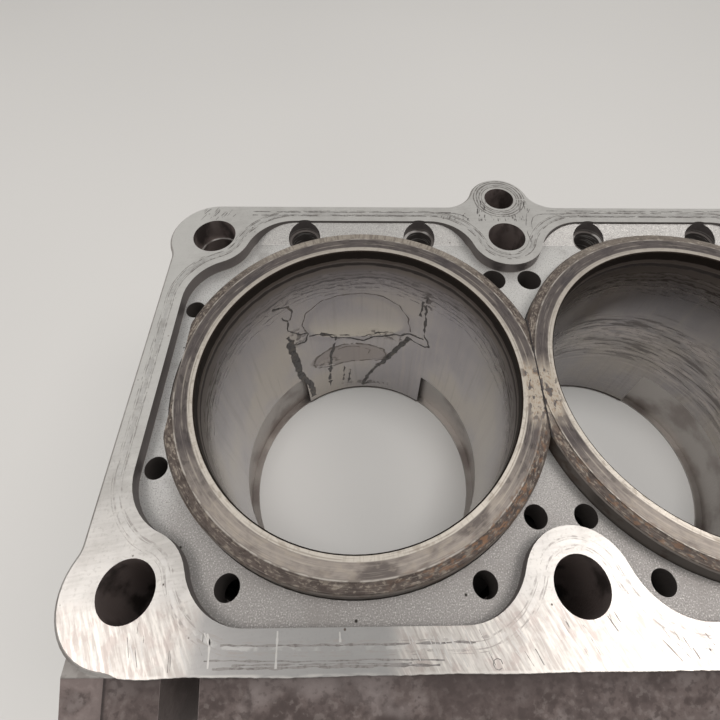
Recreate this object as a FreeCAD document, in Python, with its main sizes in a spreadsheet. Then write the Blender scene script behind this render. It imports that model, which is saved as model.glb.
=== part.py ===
import FreeCAD, Part
import math
import os

import Sketcher

# Twin-cylinder block with flanged wet liners, in millimetres.
# Origin: centre of the base, midway between the two bores. +X runs along the cylinder row,
# +Y to the rear (the side with the ear), +Z up through the bores to the deck.

os.makedirs("parts", exist_ok=True)
doc = FreeCAD.newDocument("engine_block")

# Driving dimensions: name, value, what it is.
SIZES = [
    ("cylinder_pitch", 104.0, "bore axis to bore axis"),
    ("bore_radius", 46.5, "running bore of a liner"),
    ("deck_height", 106.0, "base to deck face"),
    ("deck_end", 117.0, "centre to either end of the deck"),
    ("deck_front", 68.5, "bore line to the front edge of the deck"),
    ("deck_rear", 70.2, "bore line to the rear edge of the deck"),
    ("deck_bevel", 0.8, "broken edge round the deck"),
    ("bolt_front", 53.2, "bore line to the front row of head bolts"),
    ("bolt_rear", 54.9, "bore line to the rear row of head bolts"),
    ("bolt_hole", 6.6, "radius of a head bolt hole"),
    ("dowel_hole", 7.3, "radius of the dowel counterbores at the rear corners"),
    ("dowel_depth", 9.1, "depth of the dowel counterbores"),
    ("ear_offset", 74.3, "bore line to the hole in the rear ear"),
    ("ear_radius", 11.1, "outside of the ear"),
    ("ear_hole", 5.5, "radius of the hole in the ear"),
    ("ear_blend", 10.5, "hollow curve from the ear to the rear edge"),
    ("corner_blend", 6.0, "hollow curve from a corner boss to an end edge"),
    ("deck_plate", 13.0, "thickness of the overhanging deck flange"),
    ("base_plate", 12.0, "thickness of the overhanging base flange"),
    ("flange_lip", 2.3, "overhang of the flanges past the walls"),
    ("flange_root", 1.8, "hollow curve where a wall meets a flange"),
    ("bolt_column", 13.0, "outside radius of a bolt column"),
    ("ear_column", 9.5, "outside radius of the column under the ear"),
    ("trough_end", 109.5, "centre to the end walls of the deck trough"),
    ("trough_front", 60.5, "bore line to the front wall of the trough"),
    ("trough_rear", 62.3, "bore line to the rear wall of the trough"),
    ("trough_depth", 4.65, "deck face down to the trough floor"),
    ("trough_boss", 12.85, "radius of the bolt bosses in the trough"),
    ("trough_blend", 16.2, "hollow curve from a boss to a trough wall"),
    ("ramp_start", 54.6, "bore line to the foot of the rear ramp"),
    ("ramp_top", 1.1, "deck face down to the top of the rear ramp"),
    ("liner_proud", 1.6, "liner flange above the deck face"),
    ("liner_flange", 55.0, "outside radius of the liner flange"),
    ("liner_flat", 51.85, "liner axis to the flats of its flange"),
    ("liner_land", 52.2, "radius of the raised sealing land on the flange"),
    ("land_step", 0.3, "height of the sealing land"),
    ("liner_seat", 8.0, "deck face down to the seat of the flange"),
    ("liner_body", 50.5, "outside radius of the liner in the water jacket"),
    ("liner_spigot", 49.6, "outside radius of the liner's lower end"),
    ("liner_foot", 1.3, "base up to the liner's lower end"),
    ("flange_chamfer", 0.5, "broken edge round the liner flange"),
    ("foot_lip", 1.0, "thickness of the lip under a liner's foot"),
    ("lip_radius", 47.1, "radius of the opening in that lip"),
    ("notch_height", 28.2, "base up to the top of the skirt notches"),
    ("skirt_half_width", 26.5, "half width of the skirt between the notches"),
    ("seat_clearance", 0.25, "radial gap round the liner flange"),
    ("guide_clearance", 0.15, "radial gap round the liner body and spigot"),
    ("jacket_radius", 63.0, "radius of the water jacket round each bore"),
    ("jacket_roof", 90.0, "base up to the top of the water jacket"),
    ("jacket_floor", 46.0, "base up to the bottom of the water jacket"),
    ("seal_fit", 0.03, "gap left all round a seal ring"),
    ("seal_groove", 2.4, "width of a seal groove"),
    ("seal_groove_depth", 1.6, "depth of a seal groove in the liner"),
    ("seal_upper_height", 41.0, "base up to the upper seal ring"),
    ("seal_lower_height", 34.0, "base up to the lower seal ring"),
    ("collar_radius", 56.25, "outside of the collar round each liner's lower end"),
    ("collar_top", 29.0, "base up to the roof of the hollow underside"),
    ("underside_column", 11.0, "radius of the bolt columns in the hollow underside"),
    ("shoulder_drop", 1.6, "deck face down to the cast shoulder at the front"),
    ("shoulder_reach", 12.0, "front edge of the deck out to the front of the bulge"),
    ("shoulder_fall", 6.1, "fall of the shoulder over its reach"),
    ("bulge_end", 104.8, "centre to either end of the main bulge"),
    ("bulge_foot", 22.0, "base up to the foot of the bulge"),
    ("bulge_edge", 5.0, "rounding along the bulge"),
    ("bulge_wall", 6.0, "wall of the hollow bulge"),
    ("gallery_half_width", 27.0, "half width of the water gallery inside the bulge"),
    ("corner_step", 2.0, "step from the main bulge to its end pads"),
    ("slot_near", 84.7, "centre to the near side of the upright slot"),
    ("slot_far", 92.9, "centre to the far side of the upright slot"),
    ("core_hole", 17.0, "radius of the core plug holes"),
    ("core_height", 64.0, "base up to the core plug axes"),
    ("core_boss", 21.0, "radius of the rear core plug bosses"),
    ("core_boss_proud", 1.6, "rear core plug bosses above the wall"),
    ("core_plug_wall", 1.6, "sheet thickness of a core plug"),
    ("core_plug_depth", 6.0, "depth of a core plug's cup"),
    ("core_plug_sink", 0.8, "core plug rim below its boss"),
    ("small_hole", 3.05, "radius of the small coolant holes"),
    ("middle_hole", 4.1, "radius of the middle coolant holes"),
    ("large_hole", 4.7, "radius of the large coolant holes"),
    ("large_mouth", 5.7, "radius of the counterbore of a large coolant hole"),
    ("mouth_depth", 5.2, "deck face down to the ledge in a large coolant hole"),
    ("drain_offset", 26.0, "centre to the drain plug, to the left"),
    ("drain_height", 54.0, "base up to the drain plug"),
    ("drain_boss", 11.5, "radius of the drain plug boss"),
    ("drain_thread", 7.0, "radius of the drain thread"),
    ("drain_length", 11.0, "length of the drain plug's thread"),
    ("drain_head", 17.0, "drain plug hexagon across flats"),
    ("drain_head_height", 6.0, "height of the drain plug's hexagon"),
    ("drain_collar", 10.5, "radius of the drain plug's washer face"),
    ("washer_thickness", 1.5, "thickness of the drain washer"),
    ("washer_radius", 10.0, "outside radius of the drain washer"),
    ("inlet_height", 64.0, "base up to the coolant inlet"),
    ("inlet_port", 15.0, "radius of the coolant inlet"),
    ("inlet_boss", 20.5, "radius of the inlet boss"),
    ("inlet_lug", 9.0, "radius of the inlet's bolt lugs"),
    ("inlet_bolt_spacing", 58.0, "between the inlet's bolt holes"),
    ("inlet_bolt_hole", 3.4, "radius of the inlet's tapped holes"),
    ("inlet_bolt_depth", 9.0, "depth of the inlet's tapped holes"),
    ("inlet_proud", 4.0, "inlet face above the end wall"),
    ("rib_width", 6.0, "thickness of the upright ribs"),
    ("end_rib_offset", 38.0, "bore line to the end ribs"),
    ("rear_rib_offset", 84.0, "centre to the rear ribs"),
]

# Coolant holes beside one bore: along the row from the bore axis, rearward, size.
COOLANT_HOLES = [
    (-54.0, -24.5, "small_hole"),
    (-54.0, 26.4, "small_hole"),
    (-30.5, -52.3, "small_hole"),
    (30.5, -52.3, "small_hole"),
    (45.5, -37.4, "small_hole"),
    (45.8, 38.9, "middle_hole"),
    (-20.8, 57.0, "large_hole"),
    (20.8, 57.0, "large_hole"),
]

sheet = doc.addObject("Spreadsheet::Sheet", "sizes")
for row, (alias, value, meaning) in enumerate(SIZES, start=1):
    sheet.set("A%d" % row, alias)
    sheet.set("B%d" % row, str(value))
    sheet.set("C%d" % row, meaning)
    sheet.setAlias("B%d" % row, alias)
doc.recompute()


def formula(text):
    """The text with every sheet name in it written as sizes.NAME."""
    names = {alias for alias, _, _ in SIZES}
    words = []
    word = ""
    for letter in text + " ":
        if letter.isalnum() or letter == "_":
            word += letter
            continue
        words.append("sizes." + word if word in names else word)
        words.append(letter)
        word = ""
    return "".join(words).strip()


def value(text):
    """What a formula gives now."""
    result = sheet.evalExpression(formula(str(text)))
    return float(getattr(result, "Value", result))


def bind(thing, prop, text):
    """Tie a property to the sheet."""
    thing.setExpression(prop, formula(str(text)))


def new_body(label):
    body = doc.addObject("PartDesign::Body", label)
    body.Label = label
    return body


def new_sketch(body, name, role="XY_Plane", lift="0"):
    """A sketch on one of the body's own origin planes, lifted along that plane's normal."""
    plane = [feature for feature in body.Origin.OriginFeatures if feature.Role == role][0]
    sketch = body.newObject("Sketcher::SketchObject", name)
    sketch.AttachmentSupport = (plane, [""])
    sketch.MapMode = "FlatFace"
    bind(sketch, "AttachmentOffset.Base.z", lift)
    return sketch


def hold(sketch, item, point, kind, text):
    """Hold a point of the sketch at a formula's distance from its origin, one way."""
    number = sketch.addConstraint(Sketcher.Constraint(kind, -1, 1, item, point, value(text)))
    bind(sketch, "Constraints[%d]" % number, text)


def pin(sketch, item, point, x, y):
    """Hold a point of the sketch both ways."""
    hold(sketch, item, point, "DistanceX", x)
    hold(sketch, item, point, "DistanceY", y)


def circle(sketch, x, y, radius):
    middle = FreeCAD.Vector(value(x), value(y), 0)
    item = sketch.addGeometry(Part.Circle(middle, FreeCAD.Vector(0, 0, 1), value(radius)))
    pin(sketch, item, 3, x, y)
    number = sketch.addConstraint(Sketcher.Constraint("Radius", item, value(radius)))
    bind(sketch, "Constraints[%d]" % number, radius)


def outline(sketch, corners):
    """A closed outline. Each corner is (x, y), or (x, y, centre x, centre y) where an arc
    about that centre, anticlockwise, leads on to the next corner."""
    items = []
    chords = []
    for here, following in zip(corners, corners[1:] + corners[:1]):
        start = FreeCAD.Vector(value(here[0]), value(here[1]), 0)
        end = FreeCAD.Vector(value(following[0]), value(following[1]), 0)
        chords.append(end - start)
        if len(here) == 2:
            items.append(sketch.addGeometry(Part.LineSegment(start, end)))
            continue
        middle = FreeCAD.Vector(value(here[2]), value(here[3]), 0)
        first = math.atan2(start.y - middle.y, start.x - middle.x)
        last = math.atan2(end.y - middle.y, end.x - middle.x)
        if last <= first:
            last += 2 * math.pi
        ring = Part.Circle(middle, FreeCAD.Vector(0, 0, 1), (start - middle).Length)
        items.append(sketch.addGeometry(Part.ArcOfCircle(ring, first, last)))
    for here, chord, item, following in zip(corners, chords, items, items[1:] + items[:1]):
        sketch.addConstraint(Sketcher.Constraint("Coincident", item, 2, following, 1))
        pin(sketch, item, 1, here[0], here[1])
        if len(here) == 4:
            steep = abs(chord.y) >= abs(chord.x)
            hold(sketch, item, 3, *(("DistanceX", here[2]) if steep else ("DistanceY", here[3])))


def rectangle(sketch, left, right, low, high):
    outline(sketch, [(left, low), (right, low), (right, high), (left, high)])


def finish_feature(body, feature):
    """Settle a feature and make sure that it worked."""
    body.Tip = feature
    doc.recompute()
    if "Invalid" in feature.State or feature.Shape.isNull():
        raise RuntimeError("%s of %s failed" % (feature.Name, body.Label))
    return feature


def extrude(kind, body, sketch, name, length, reverse=False, midplane=False):
    feature = body.newObject("PartDesign::" + kind, name)
    feature.Profile = sketch
    bind(feature, "Length", length)
    feature.Reversed = reverse
    feature.Midplane = midplane
    before = feature.BaseFeature.Shape if feature.BaseFeature else Part.Shape()
    finish_feature(body, feature)
    if not before.isNull() and (feature.Shape.Volume > before.Volume) != (kind == "Pad"):
        raise RuntimeError("%s of %s changes nothing" % (name, body.Label))
    sketch.Visibility = False
    return feature


def pad(body, sketch, name, length, **choices):
    return extrude("Pad", body, sketch, name, length, **choices)


def pocket(body, sketch, name, length, **choices):
    return extrude("Pocket", body, sketch, name, length, **choices)


def mirror(body, feature):
    """The feature once more on the other side of the block."""
    plane = [item for item in body.Origin.OriginFeatures if item.Role == "YZ_Plane"][0]
    copy = body.newObject("PartDesign::Mirrored", feature.Name + "_mirrored")
    copy.Originals = [feature]
    copy.MirrorPlane = (plane, [""])
    return finish_feature(body, copy)


def revolve(body, sketch, name):
    feature = body.newObject("PartDesign::Revolution", name)
    feature.Profile = sketch
    feature.ReferenceAxis = (sketch, ["V_Axis"])
    feature.Angle = 360
    finish_feature(body, feature)
    sketch.Visibility = False
    return feature


def upright_edges(shape, spots, low, high):
    """Names of the upright edges that stand at the given spots between two heights."""
    names = []
    for number, edge in enumerate(shape.Edges, start=1):
        box = edge.BoundBox
        if box.XLength > 0.01 or box.YLength > 0.01 or box.ZLength < 0.5:
            continue
        if box.ZMin < low - 0.1 or box.ZMax > high + 0.1:
            continue
        if any(math.hypot(box.XMin - x, box.YMin - y) < 0.1 for x, y in spots):
            names.append("Edge%d" % number)
    return names


def root_edges(shape, levels):
    """Names of the edges at these heights where an upright wall rises from a level face."""
    names = []
    for number, edge in enumerate(shape.Edges, start=1):
        box = edge.BoundBox
        if box.ZLength > 0.01 or min(abs(box.ZMin - level) for level in levels) > 0.01:
            continue
        faces = shape.ancestorsOfType(edge, Part.Face)
        heights = sorted((face.BoundBox.ZLength, face.BoundBox.ZMax) for face in faces)
        if len(heights) == 2 and heights[1][0] > 2 * value("base_plate"):
            names.append("Edge%d" % number)
    return names


def fillet(body, name, edges, radius):
    base = body.Tip
    feature = body.newObject("PartDesign::Fillet", name)
    feature.Base = (base, edges)
    bind(feature, "Radius", radius)
    return finish_feature(body, feature)


BOLT_COLUMNS = ["-cylinder_pitch", "0", "cylinder_pitch"]
BOLT_ROWS = ["-bolt_front", "bolt_rear"]
CORNER_COLUMNS = ["-cylinder_pitch", "cylinder_pitch"]
LEFT_BORE = "-cylinder_pitch / 2"
BORES = [LEFT_BORE, "cylinder_pitch / 2"]


def casting_outside(body):
    """The deck outline as a full-height prism, waisted between its two flanges."""
    front_round = "(deck_front - bolt_front)"
    rear_round = "(deck_rear - bolt_rear)"
    overhang = "(deck_end - cylinder_pitch)"
    front_meet = "-bolt_front + sqrt(%s^2 - %s^2)" % (front_round, overhang)
    rear_meet = "bolt_rear - sqrt(%s^2 - %s^2)" % (rear_round, overhang)
    ear_meet = "sqrt(ear_radius^2 - (ear_offset - deck_rear)^2)"
    plan = new_sketch(body, "deck_plan")
    outline(plan, [
        ("-cylinder_pitch", "-deck_front"),
        ("cylinder_pitch", "-deck_front", "cylinder_pitch", "-bolt_front"),
        ("deck_end", front_meet),
        ("deck_end", rear_meet, "cylinder_pitch", "bolt_rear"),
        ("cylinder_pitch", "deck_rear"),
        (ear_meet, "deck_rear", "0", "ear_offset"),
        ("-" + ear_meet, "deck_rear"),
        ("-cylinder_pitch", "deck_rear", "-cylinder_pitch", "bolt_rear"),
        ("-deck_end", rear_meet),
        ("-deck_end", front_meet, "-cylinder_pitch", "-bolt_front"),
    ])
    pad(body, plan, "prism", "deck_height")
    half_ear = value(ear_meet)
    rear = value("deck_rear")
    edges = upright_edges(body.Tip.Shape, [(-half_ear, rear), (half_ear, rear)],
                          0, value("deck_height"))
    fillet(body, "ear_curves", edges, "ear_blend")
    end = value("deck_end")
    spots = [(side * end, value(text)) for side in (-1, 1) for text in (front_meet, rear_meet)]
    edges = upright_edges(body.Tip.Shape, spots, 0, value("deck_height"))
    fillet(body, "corner_curves", edges, "corner_blend")

    wall_end = "(deck_end - flange_lip)"
    wall_front = "(deck_front - flange_lip)"
    wall_rear = "(deck_rear - flange_lip)"
    waist = new_sketch(body, "waist_plan", lift="base_plate")
    rectangle(waist, "-deck_end * 1.2", "deck_end * 1.2", "-deck_front * 1.3", "deck_rear * 1.4")
    outline(waist, [
        ("-cylinder_pitch", "-" + wall_front),
        ("cylinder_pitch", "-" + wall_front),
        (wall_end, "-bolt_front"),
        (wall_end, "bolt_rear"),
        ("cylinder_pitch", wall_rear),
        ("-cylinder_pitch", wall_rear),
        ("-" + wall_end, "bolt_rear"),
        ("-" + wall_end, "-bolt_front"),
    ])
    pocket(body, waist, "waist", "deck_height - base_plate - deck_plate", reverse=True)

    columns = new_sketch(body, "column_plan")
    for x in CORNER_COLUMNS:
        for y in BOLT_ROWS:
            circle(columns, x, y, "bolt_column")
    circle(columns, "0", "ear_offset", "ear_column")
    pad(body, columns, "columns", "deck_height")
    levels = (value("base_plate"), value("deck_height - deck_plate"))
    fillet(body, "flange_roots", root_edges(body.Tip.Shape, levels), "flange_root")


def casting_front(body):
    """The cast bulge below the deck's front edge, with its end pads and upright slots."""
    inner = "-(deck_front - flange_lip - 1)"
    brow = "deck_height - shoulder_drop"
    front = "-(deck_front + shoulder_reach)"
    lower = "bulge_foot + shoulder_reach"
    profile = new_sketch(body, "bulge_profile", "YZ_Plane")
    outline(profile, [
        (inner, brow),
        ("-deck_front", brow),
        (front, brow + " - shoulder_fall"),
        (front, lower),
        ("-deck_front", "bulge_foot"),
        (inner, "bulge_foot"),
    ])
    pad(body, profile, "bulge", "2 * bulge_end", midplane=True)

    pads = new_sketch(body, "end_pad_profile", "YZ_Plane")
    outline(pads, [
        (inner, brow + " - corner_step"),
        ("-deck_front", brow + " - corner_step"),
        (front + " + corner_step", brow + " - corner_step - shoulder_fall"),
        (front + " + corner_step", lower + " + corner_step"),
        ("-deck_front", "bulge_foot + corner_step"),
        (inner, "bulge_foot + corner_step"),
    ])
    pad(body, pads, "end_pads", "2 * (deck_end - flange_lip)", midplane=True)

    slots = new_sketch(body, "slot_plan", lift="deck_height")
    for near, far in (("slot_near", "slot_far"), ("-slot_far", "-slot_near")):
        rectangle(slots, near, far, front + " - 1", "-deck_front")
    pocket(body, slots, "slots", "deck_height - bulge_foot")

    brink = value(front)
    edges = []
    for number, edge in enumerate(body.Tip.Shape.Edges, start=1):
        box = edge.BoundBox
        if box.YLength < 0.01 and abs(box.YMin - brink) < 0.01 and box.ZLength < 0.01:
            edges.append("Edge%d" % number)
    fillet(body, "bulge_edges", edges, "bulge_edge")


def casting_bosses(body):
    """Rear core plug bosses, drain boss, coolant inlet and ribs."""
    wall_rear = "(deck_rear - flange_lip)"
    bosses = new_sketch(body, "rear_boss_plan", "XZ_Plane", lift="-(%s - 1)" % wall_rear)
    for x in BORES:
        circle(bosses, x, "core_height", "core_boss")
    pad(body, bosses, "core_bosses", "core_boss_proud + 1", reverse=True)

    drain = new_sketch(body, "drain_boss_plan", "XZ_Plane", lift="-(%s - 1)" % wall_rear)
    circle(drain, "-drain_offset", "drain_height", "drain_boss")
    pad(body, drain, "drain_pad", "flange_lip + 1", reverse=True)

    wall_end = "(deck_end - flange_lip)"
    lugs = new_sketch(body, "inlet_lug_plan", "YZ_Plane", lift="-%s + 1" % wall_end)
    reach = "inlet_bolt_spacing / 2"
    outline(lugs, [
        ("-" + reach, "inlet_height - inlet_lug"),
        (reach, "inlet_height - inlet_lug", reach, "inlet_height"),
        (reach, "inlet_height + inlet_lug"),
        ("-" + reach, "inlet_height + inlet_lug", "-" + reach, "inlet_height"),
    ])
    pad(body, lugs, "inlet_lugs", "inlet_proud + 1", reverse=True)
    mouth = new_sketch(body, "inlet_boss_plan", "YZ_Plane", lift="-%s + 1" % wall_end)
    circle(mouth, "0", "inlet_height", "inlet_boss")
    pad(body, mouth, "inlet_mouth", "inlet_proud + 1", reverse=True)

    end_ribs = new_sketch(body, "end_rib_plan", "XY_Plane", lift="base_plate - 1")
    for y in ("-end_rib_offset", "end_rib_offset"):
        for side in ("-", ""):
            outer = side + "(deck_end - 0.3)"
            inner = side + "(%s - 1)" % wall_end
            low, high = (outer, inner) if side else (inner, outer)
            rectangle(end_ribs, low, high, y + " - rib_width / 2", y + " + rib_width / 2")
    pad(body, end_ribs, "end_ribs", "deck_height - deck_plate - base_plate + 2")
    rear_ribs = new_sketch(body, "rear_rib_plan", "XY_Plane", lift="base_plate - 1")
    for x in ("-rear_rib_offset", "rear_rib_offset"):
        rectangle(rear_ribs, x + " - rib_width / 2", x + " + rib_width / 2",
                  wall_rear + " - 1", "deck_rear - 0.3")
    pad(body, rear_ribs, "rear_ribs", "deck_height - deck_plate - base_plate + 2")


def casting_underside(body):
    """The hollow underside, with a collar round each liner foot and the bolt columns."""
    hollow = new_sketch(body, "underside_plan")
    rectangle(hollow, "-trough_end", "trough_end", "-trough_front", "trough_rear")
    pocket(body, hollow, "underside", "collar_top", reverse=True)
    collar = new_sketch(body, "collar_plan")
    circle(collar, LEFT_BORE, "0", "collar_radius")
    mirror(body, pad(body, collar, "collar", "collar_top + 1"))
    columns = new_sketch(body, "underside_column_plan")
    for x in BOLT_COLUMNS:
        for y in BOLT_ROWS:
            circle(columns, x, y, "underside_column")
    pad(body, columns, "underside_columns", "collar_top + 1")


def casting_jacket(body):
    """The water jacket: a round chamber about each bore, cut off flat at the outer walls."""
    end = "(trough_end - cylinder_pitch / 2)"
    across_end = "sqrt(jacket_radius^2 - %s^2)" % end
    across_front = "sqrt(jacket_radius^2 - trough_front^2)"
    across_rear = "sqrt(jacket_radius^2 - trough_rear^2)"
    about = (LEFT_BORE, "0")
    chamber = new_sketch(body, "jacket_plan", lift="jacket_roof")
    outline(chamber, [
        (LEFT_BORE + " - " + across_front, "-trough_front"),
        (LEFT_BORE + " + " + across_front, "-trough_front") + about,
        (LEFT_BORE + " + " + across_rear, "trough_rear"),
        (LEFT_BORE + " - " + across_rear, "trough_rear") + about,
        ("-trough_end", across_end),
        ("-trough_end", "-" + across_end) + about,
    ])
    mirror(body, pocket(body, chamber, "jacket", "jacket_roof - jacket_floor"))

    gallery = new_sketch(body, "gallery_plan", lift="deck_height - deck_plate - 6")
    for x in BORES:
        rectangle(gallery, x + " - gallery_half_width", x + " + gallery_half_width",
                  "-(deck_front + shoulder_reach - bulge_wall)", "-trough_front + 1")
    pocket(body, gallery, "gallery", "deck_height - deck_plate - jacket_floor - 10")


def casting_deck(body):
    """The machined trough round the liners: bosses, hollow curves and the rear ramp."""
    trough = new_sketch(body, "trough_plan", lift="deck_height")
    rectangle(trough, "-trough_end", "trough_end", "-trough_front", "trough_rear")
    pocket(body, trough, "trough", "trough_depth")
    bosses = new_sketch(body, "trough_boss_plan", lift="deck_height")
    for x in BOLT_COLUMNS:
        for y in BOLT_ROWS:
            circle(bosses, x, y, "trough_boss")
    pad(body, bosses, "trough_bosses", "trough_depth", reverse=True)

    radius = value("trough_boss")
    pitch = value("cylinder_pitch")
    end = value("trough_end")
    spots = []
    for wall, row in ((-value("trough_front"), -value("bolt_front")),
                      (value("trough_rear"), value("bolt_rear"))):
        along = math.sqrt(radius ** 2 - (wall - row) ** 2)
        inward = math.copysign(math.sqrt(radius ** 2 - (end - pitch) ** 2), -row)
        spots += [(x, wall) for x in (-pitch + along, -along, along, pitch - along)]
        spots += [(x, row + inward) for x in (-end, end)]
    edges = upright_edges(body.Tip.Shape, spots,
                          value("deck_height - trough_depth"), value("deck_height"))
    fillet(body, "trough_curves", edges, "trough_blend")

    ramp = new_sketch(body, "ramp_profile", "YZ_Plane")
    outline(ramp, [
        ("ramp_start", "deck_height - trough_depth"),
        ("ramp_start", "deck_height - trough_depth - 1"),
        ("trough_rear + 1", "deck_height - trough_depth - 1"),
        ("trough_rear + 1", "deck_height - ramp_top"),
        ("trough_rear", "deck_height - ramp_top"),
    ])
    pad(body, ramp, "ramp", "2 * trough_end", midplane=True)


def casting_bores(body):
    """Liner seats and guide bores."""
    seat = new_sketch(body, "flange_seat_plan", lift="deck_height")
    circle(seat, LEFT_BORE, "0", "liner_flange + seat_clearance")
    mirror(body, pocket(body, seat, "flange_seat", "liner_seat"))
    cuts = [
        ("upper_guide", "deck_height", "liner_body + guide_clearance", "jacket_floor"),
        ("lower_guide", "jacket_floor + 1", "liner_spigot + guide_clearance", "foot_lip"),
        ("foot_opening", "foot_lip + 1", "lip_radius", "0"),
    ]
    for name, level, radius, foot in cuts:
        rings = new_sketch(body, name + "_plan", lift=level)
        for x in BORES:
            circle(rings, x, "0", radius)
        pocket(body, rings, name, "%s - (%s)" % (level, foot))


def casting_holes(body):
    """Bolt holes, dowel counterbores, coolant holes, core holes, drain and inlet."""
    bolts = new_sketch(body, "bolt_plan", lift="deck_height")
    for x in BOLT_COLUMNS:
        for y in BOLT_ROWS:
            circle(bolts, x, y, "bolt_hole")
    circle(bolts, "0", "ear_offset", "ear_hole")
    pocket(body, bolts, "bolt_holes", "deck_height")
    dowels = new_sketch(body, "dowel_plan", lift="deck_height")
    for x in CORNER_COLUMNS:
        circle(dowels, x, "bolt_rear", "dowel_hole")
    pocket(body, dowels, "dowel_holes", "dowel_depth")

    passages = new_sketch(body, "coolant_plan", lift="deck_height")
    for along, rearward, radius in COOLANT_HOLES:
        circle(passages, "%s + %s" % (LEFT_BORE, along), str(rearward), radius)
        circle(passages, "cylinder_pitch / 2 - %s" % along, str(rearward), radius)
    pocket(body, passages, "coolant_holes", "deck_height - jacket_roof + 2")
    mouths = new_sketch(body, "mouth_plan", lift="deck_height")
    for along, rearward, radius in COOLANT_HOLES:
        if radius == "large_hole":
            circle(mouths, "%s + %s" % (LEFT_BORE, along), str(rearward), "large_mouth")
            circle(mouths, "cylinder_pitch / 2 - %s" % along, str(rearward), "large_mouth")
    pocket(body, mouths, "coolant_mouths", "mouth_depth")

    front = "deck_front + shoulder_reach"
    for name, lift, depth in (("front", front, "bulge_wall + 1"),
                              ("rear", "-(deck_rear + 1)", "deck_rear - trough_rear + 4")):
        cores = new_sketch(body, name + "_core_plan", "XZ_Plane", lift=lift)
        for x in BORES:
            circle(cores, x, "core_height", "core_hole")
        pocket(body, cores, name + "_core_holes", depth, reverse=(name == "rear"))

    drain = new_sketch(body, "drain_plan", "XZ_Plane", lift="-deck_rear")
    circle(drain, "-drain_offset", "drain_height", "drain_thread")
    pocket(body, drain, "drain_hole", "deck_rear - jacket_radius + 8", reverse=True)

    face = "-(deck_end - flange_lip + inlet_proud)"
    port = new_sketch(body, "inlet_plan", "YZ_Plane", lift=face)
    circle(port, "0", "inlet_height", "inlet_port")
    pocket(body, port, "inlet", "deck_end - trough_end + inlet_proud", reverse=True)
    taps = new_sketch(body, "inlet_tap_plan", "YZ_Plane", lift=face)
    for y in ("-inlet_bolt_spacing / 2", "inlet_bolt_spacing / 2"):
        circle(taps, y, "inlet_height", "inlet_bolt_hole")
    pocket(body, taps, "inlet_taps", "inlet_bolt_depth", reverse=True)


def deck_bevel(body):
    """The broken edge round the outside of the deck."""
    top = value("deck_height")
    names = []
    faces = [face for face in body.Tip.Shape.Faces
             if face.BoundBox.ZLength < 0.01 and abs(face.BoundBox.ZMin - top) < 0.01]
    rim = max(faces, key=lambda face: face.BoundBox.XLength).OuterWire
    for number, edge in enumerate(body.Tip.Shape.Edges, start=1):
        if any(edge.isSame(other) for other in rim.Edges):
            names.append("Edge%d" % number)
    base = body.Tip
    feature = body.newObject("PartDesign::Chamfer", "deck_bevel")
    feature.Base = (base, names)
    bind(feature, "Size", "deck_bevel")
    finish_feature(body, feature)


def block_casting():
    body = new_body("block_casting")
    casting_outside(body)
    casting_front(body)
    casting_bosses(body)
    casting_underside(body)
    casting_jacket(body)
    casting_deck(body)
    casting_bores(body)
    casting_holes(body)
    deck_bevel(body)
    return body


def cylinder_liner(number, place, turn):
    """A flanged liner. Its flange has two flats; the lower tier is flat on one side only,
    where the other liner stands."""
    body = new_body("cylinder_liner_%d" % number)
    top = "deck_height + liner_proud"
    seat = "deck_height - liner_seat"
    profile = new_sketch(body, "liner_profile", "XZ_Plane")
    corners = [("bore_radius", "liner_foot"), ("liner_spigot", "liner_foot")]
    for height in ("seal_lower_height", "seal_upper_height"):
        corners += [
            ("liner_spigot", height + " - seal_groove / 2"),
            ("liner_spigot - seal_groove_depth", height + " - seal_groove / 2"),
            ("liner_spigot - seal_groove_depth", height + " + seal_groove / 2"),
            ("liner_spigot", height + " + seal_groove / 2"),
        ]
    outline(profile, corners + [
        ("liner_spigot", "jacket_floor + 1"),
        ("liner_body", "jacket_floor + 3"),
        ("liner_body", seat),
        ("liner_flange", seat),
        ("liner_flange", top + " - land_step - flange_chamfer"),
        ("liner_flange - flange_chamfer", top + " - land_step"),
        ("liner_land", top + " - land_step"),
        ("liner_land", top),
        ("bore_radius + 0.4", top),
        ("bore_radius", top + " - 0.4"),
    ])
    revolve(body, profile, "liner_turned")
    flats = new_sketch(body, "flat_profile", "XZ_Plane")
    rectangle(flats, "-liner_flange - 1", "-liner_flat", "deck_height - trough_depth", top + " + 1")
    rectangle(flats, "liner_flat", "liner_flange + 1", seat + " - 0.5", top + " + 1")
    pocket(body, flats, "flats", "3 * liner_flange", midplane=True)
    notches = new_sketch(body, "notch_profile", "XZ_Plane")
    rectangle(notches, "-liner_flange", "-skirt_half_width", "0", "notch_height")
    rectangle(notches, "skirt_half_width", "liner_flange", "0", "notch_height")
    pocket(body, notches, "notches", "3 * liner_flange", midplane=True)
    body.Placement.Rotation = FreeCAD.Rotation(FreeCAD.Vector(0, 0, 1), turn)
    bind(body, "Placement.Base.x", place)
    return body


def seal_ring(number, place, level):
    """A square-section seal in its groove in a liner's spigot, squeezed against the casting."""
    body = new_body("seal_ring_%d_%s" % (number, level))
    plan = new_sketch(body, "seal_plan")
    circle(plan, "0", "0", "liner_spigot + guide_clearance - seal_fit")
    circle(plan, "0", "0", "liner_spigot - seal_groove_depth + seal_fit")
    pad(body, plan, "seal", "seal_groove - 2 * seal_fit", midplane=True)
    bind(body, "Placement.Base.x", place)
    bind(body, "Placement.Base.z", "seal_%s_height" % level)
    return body


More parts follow.
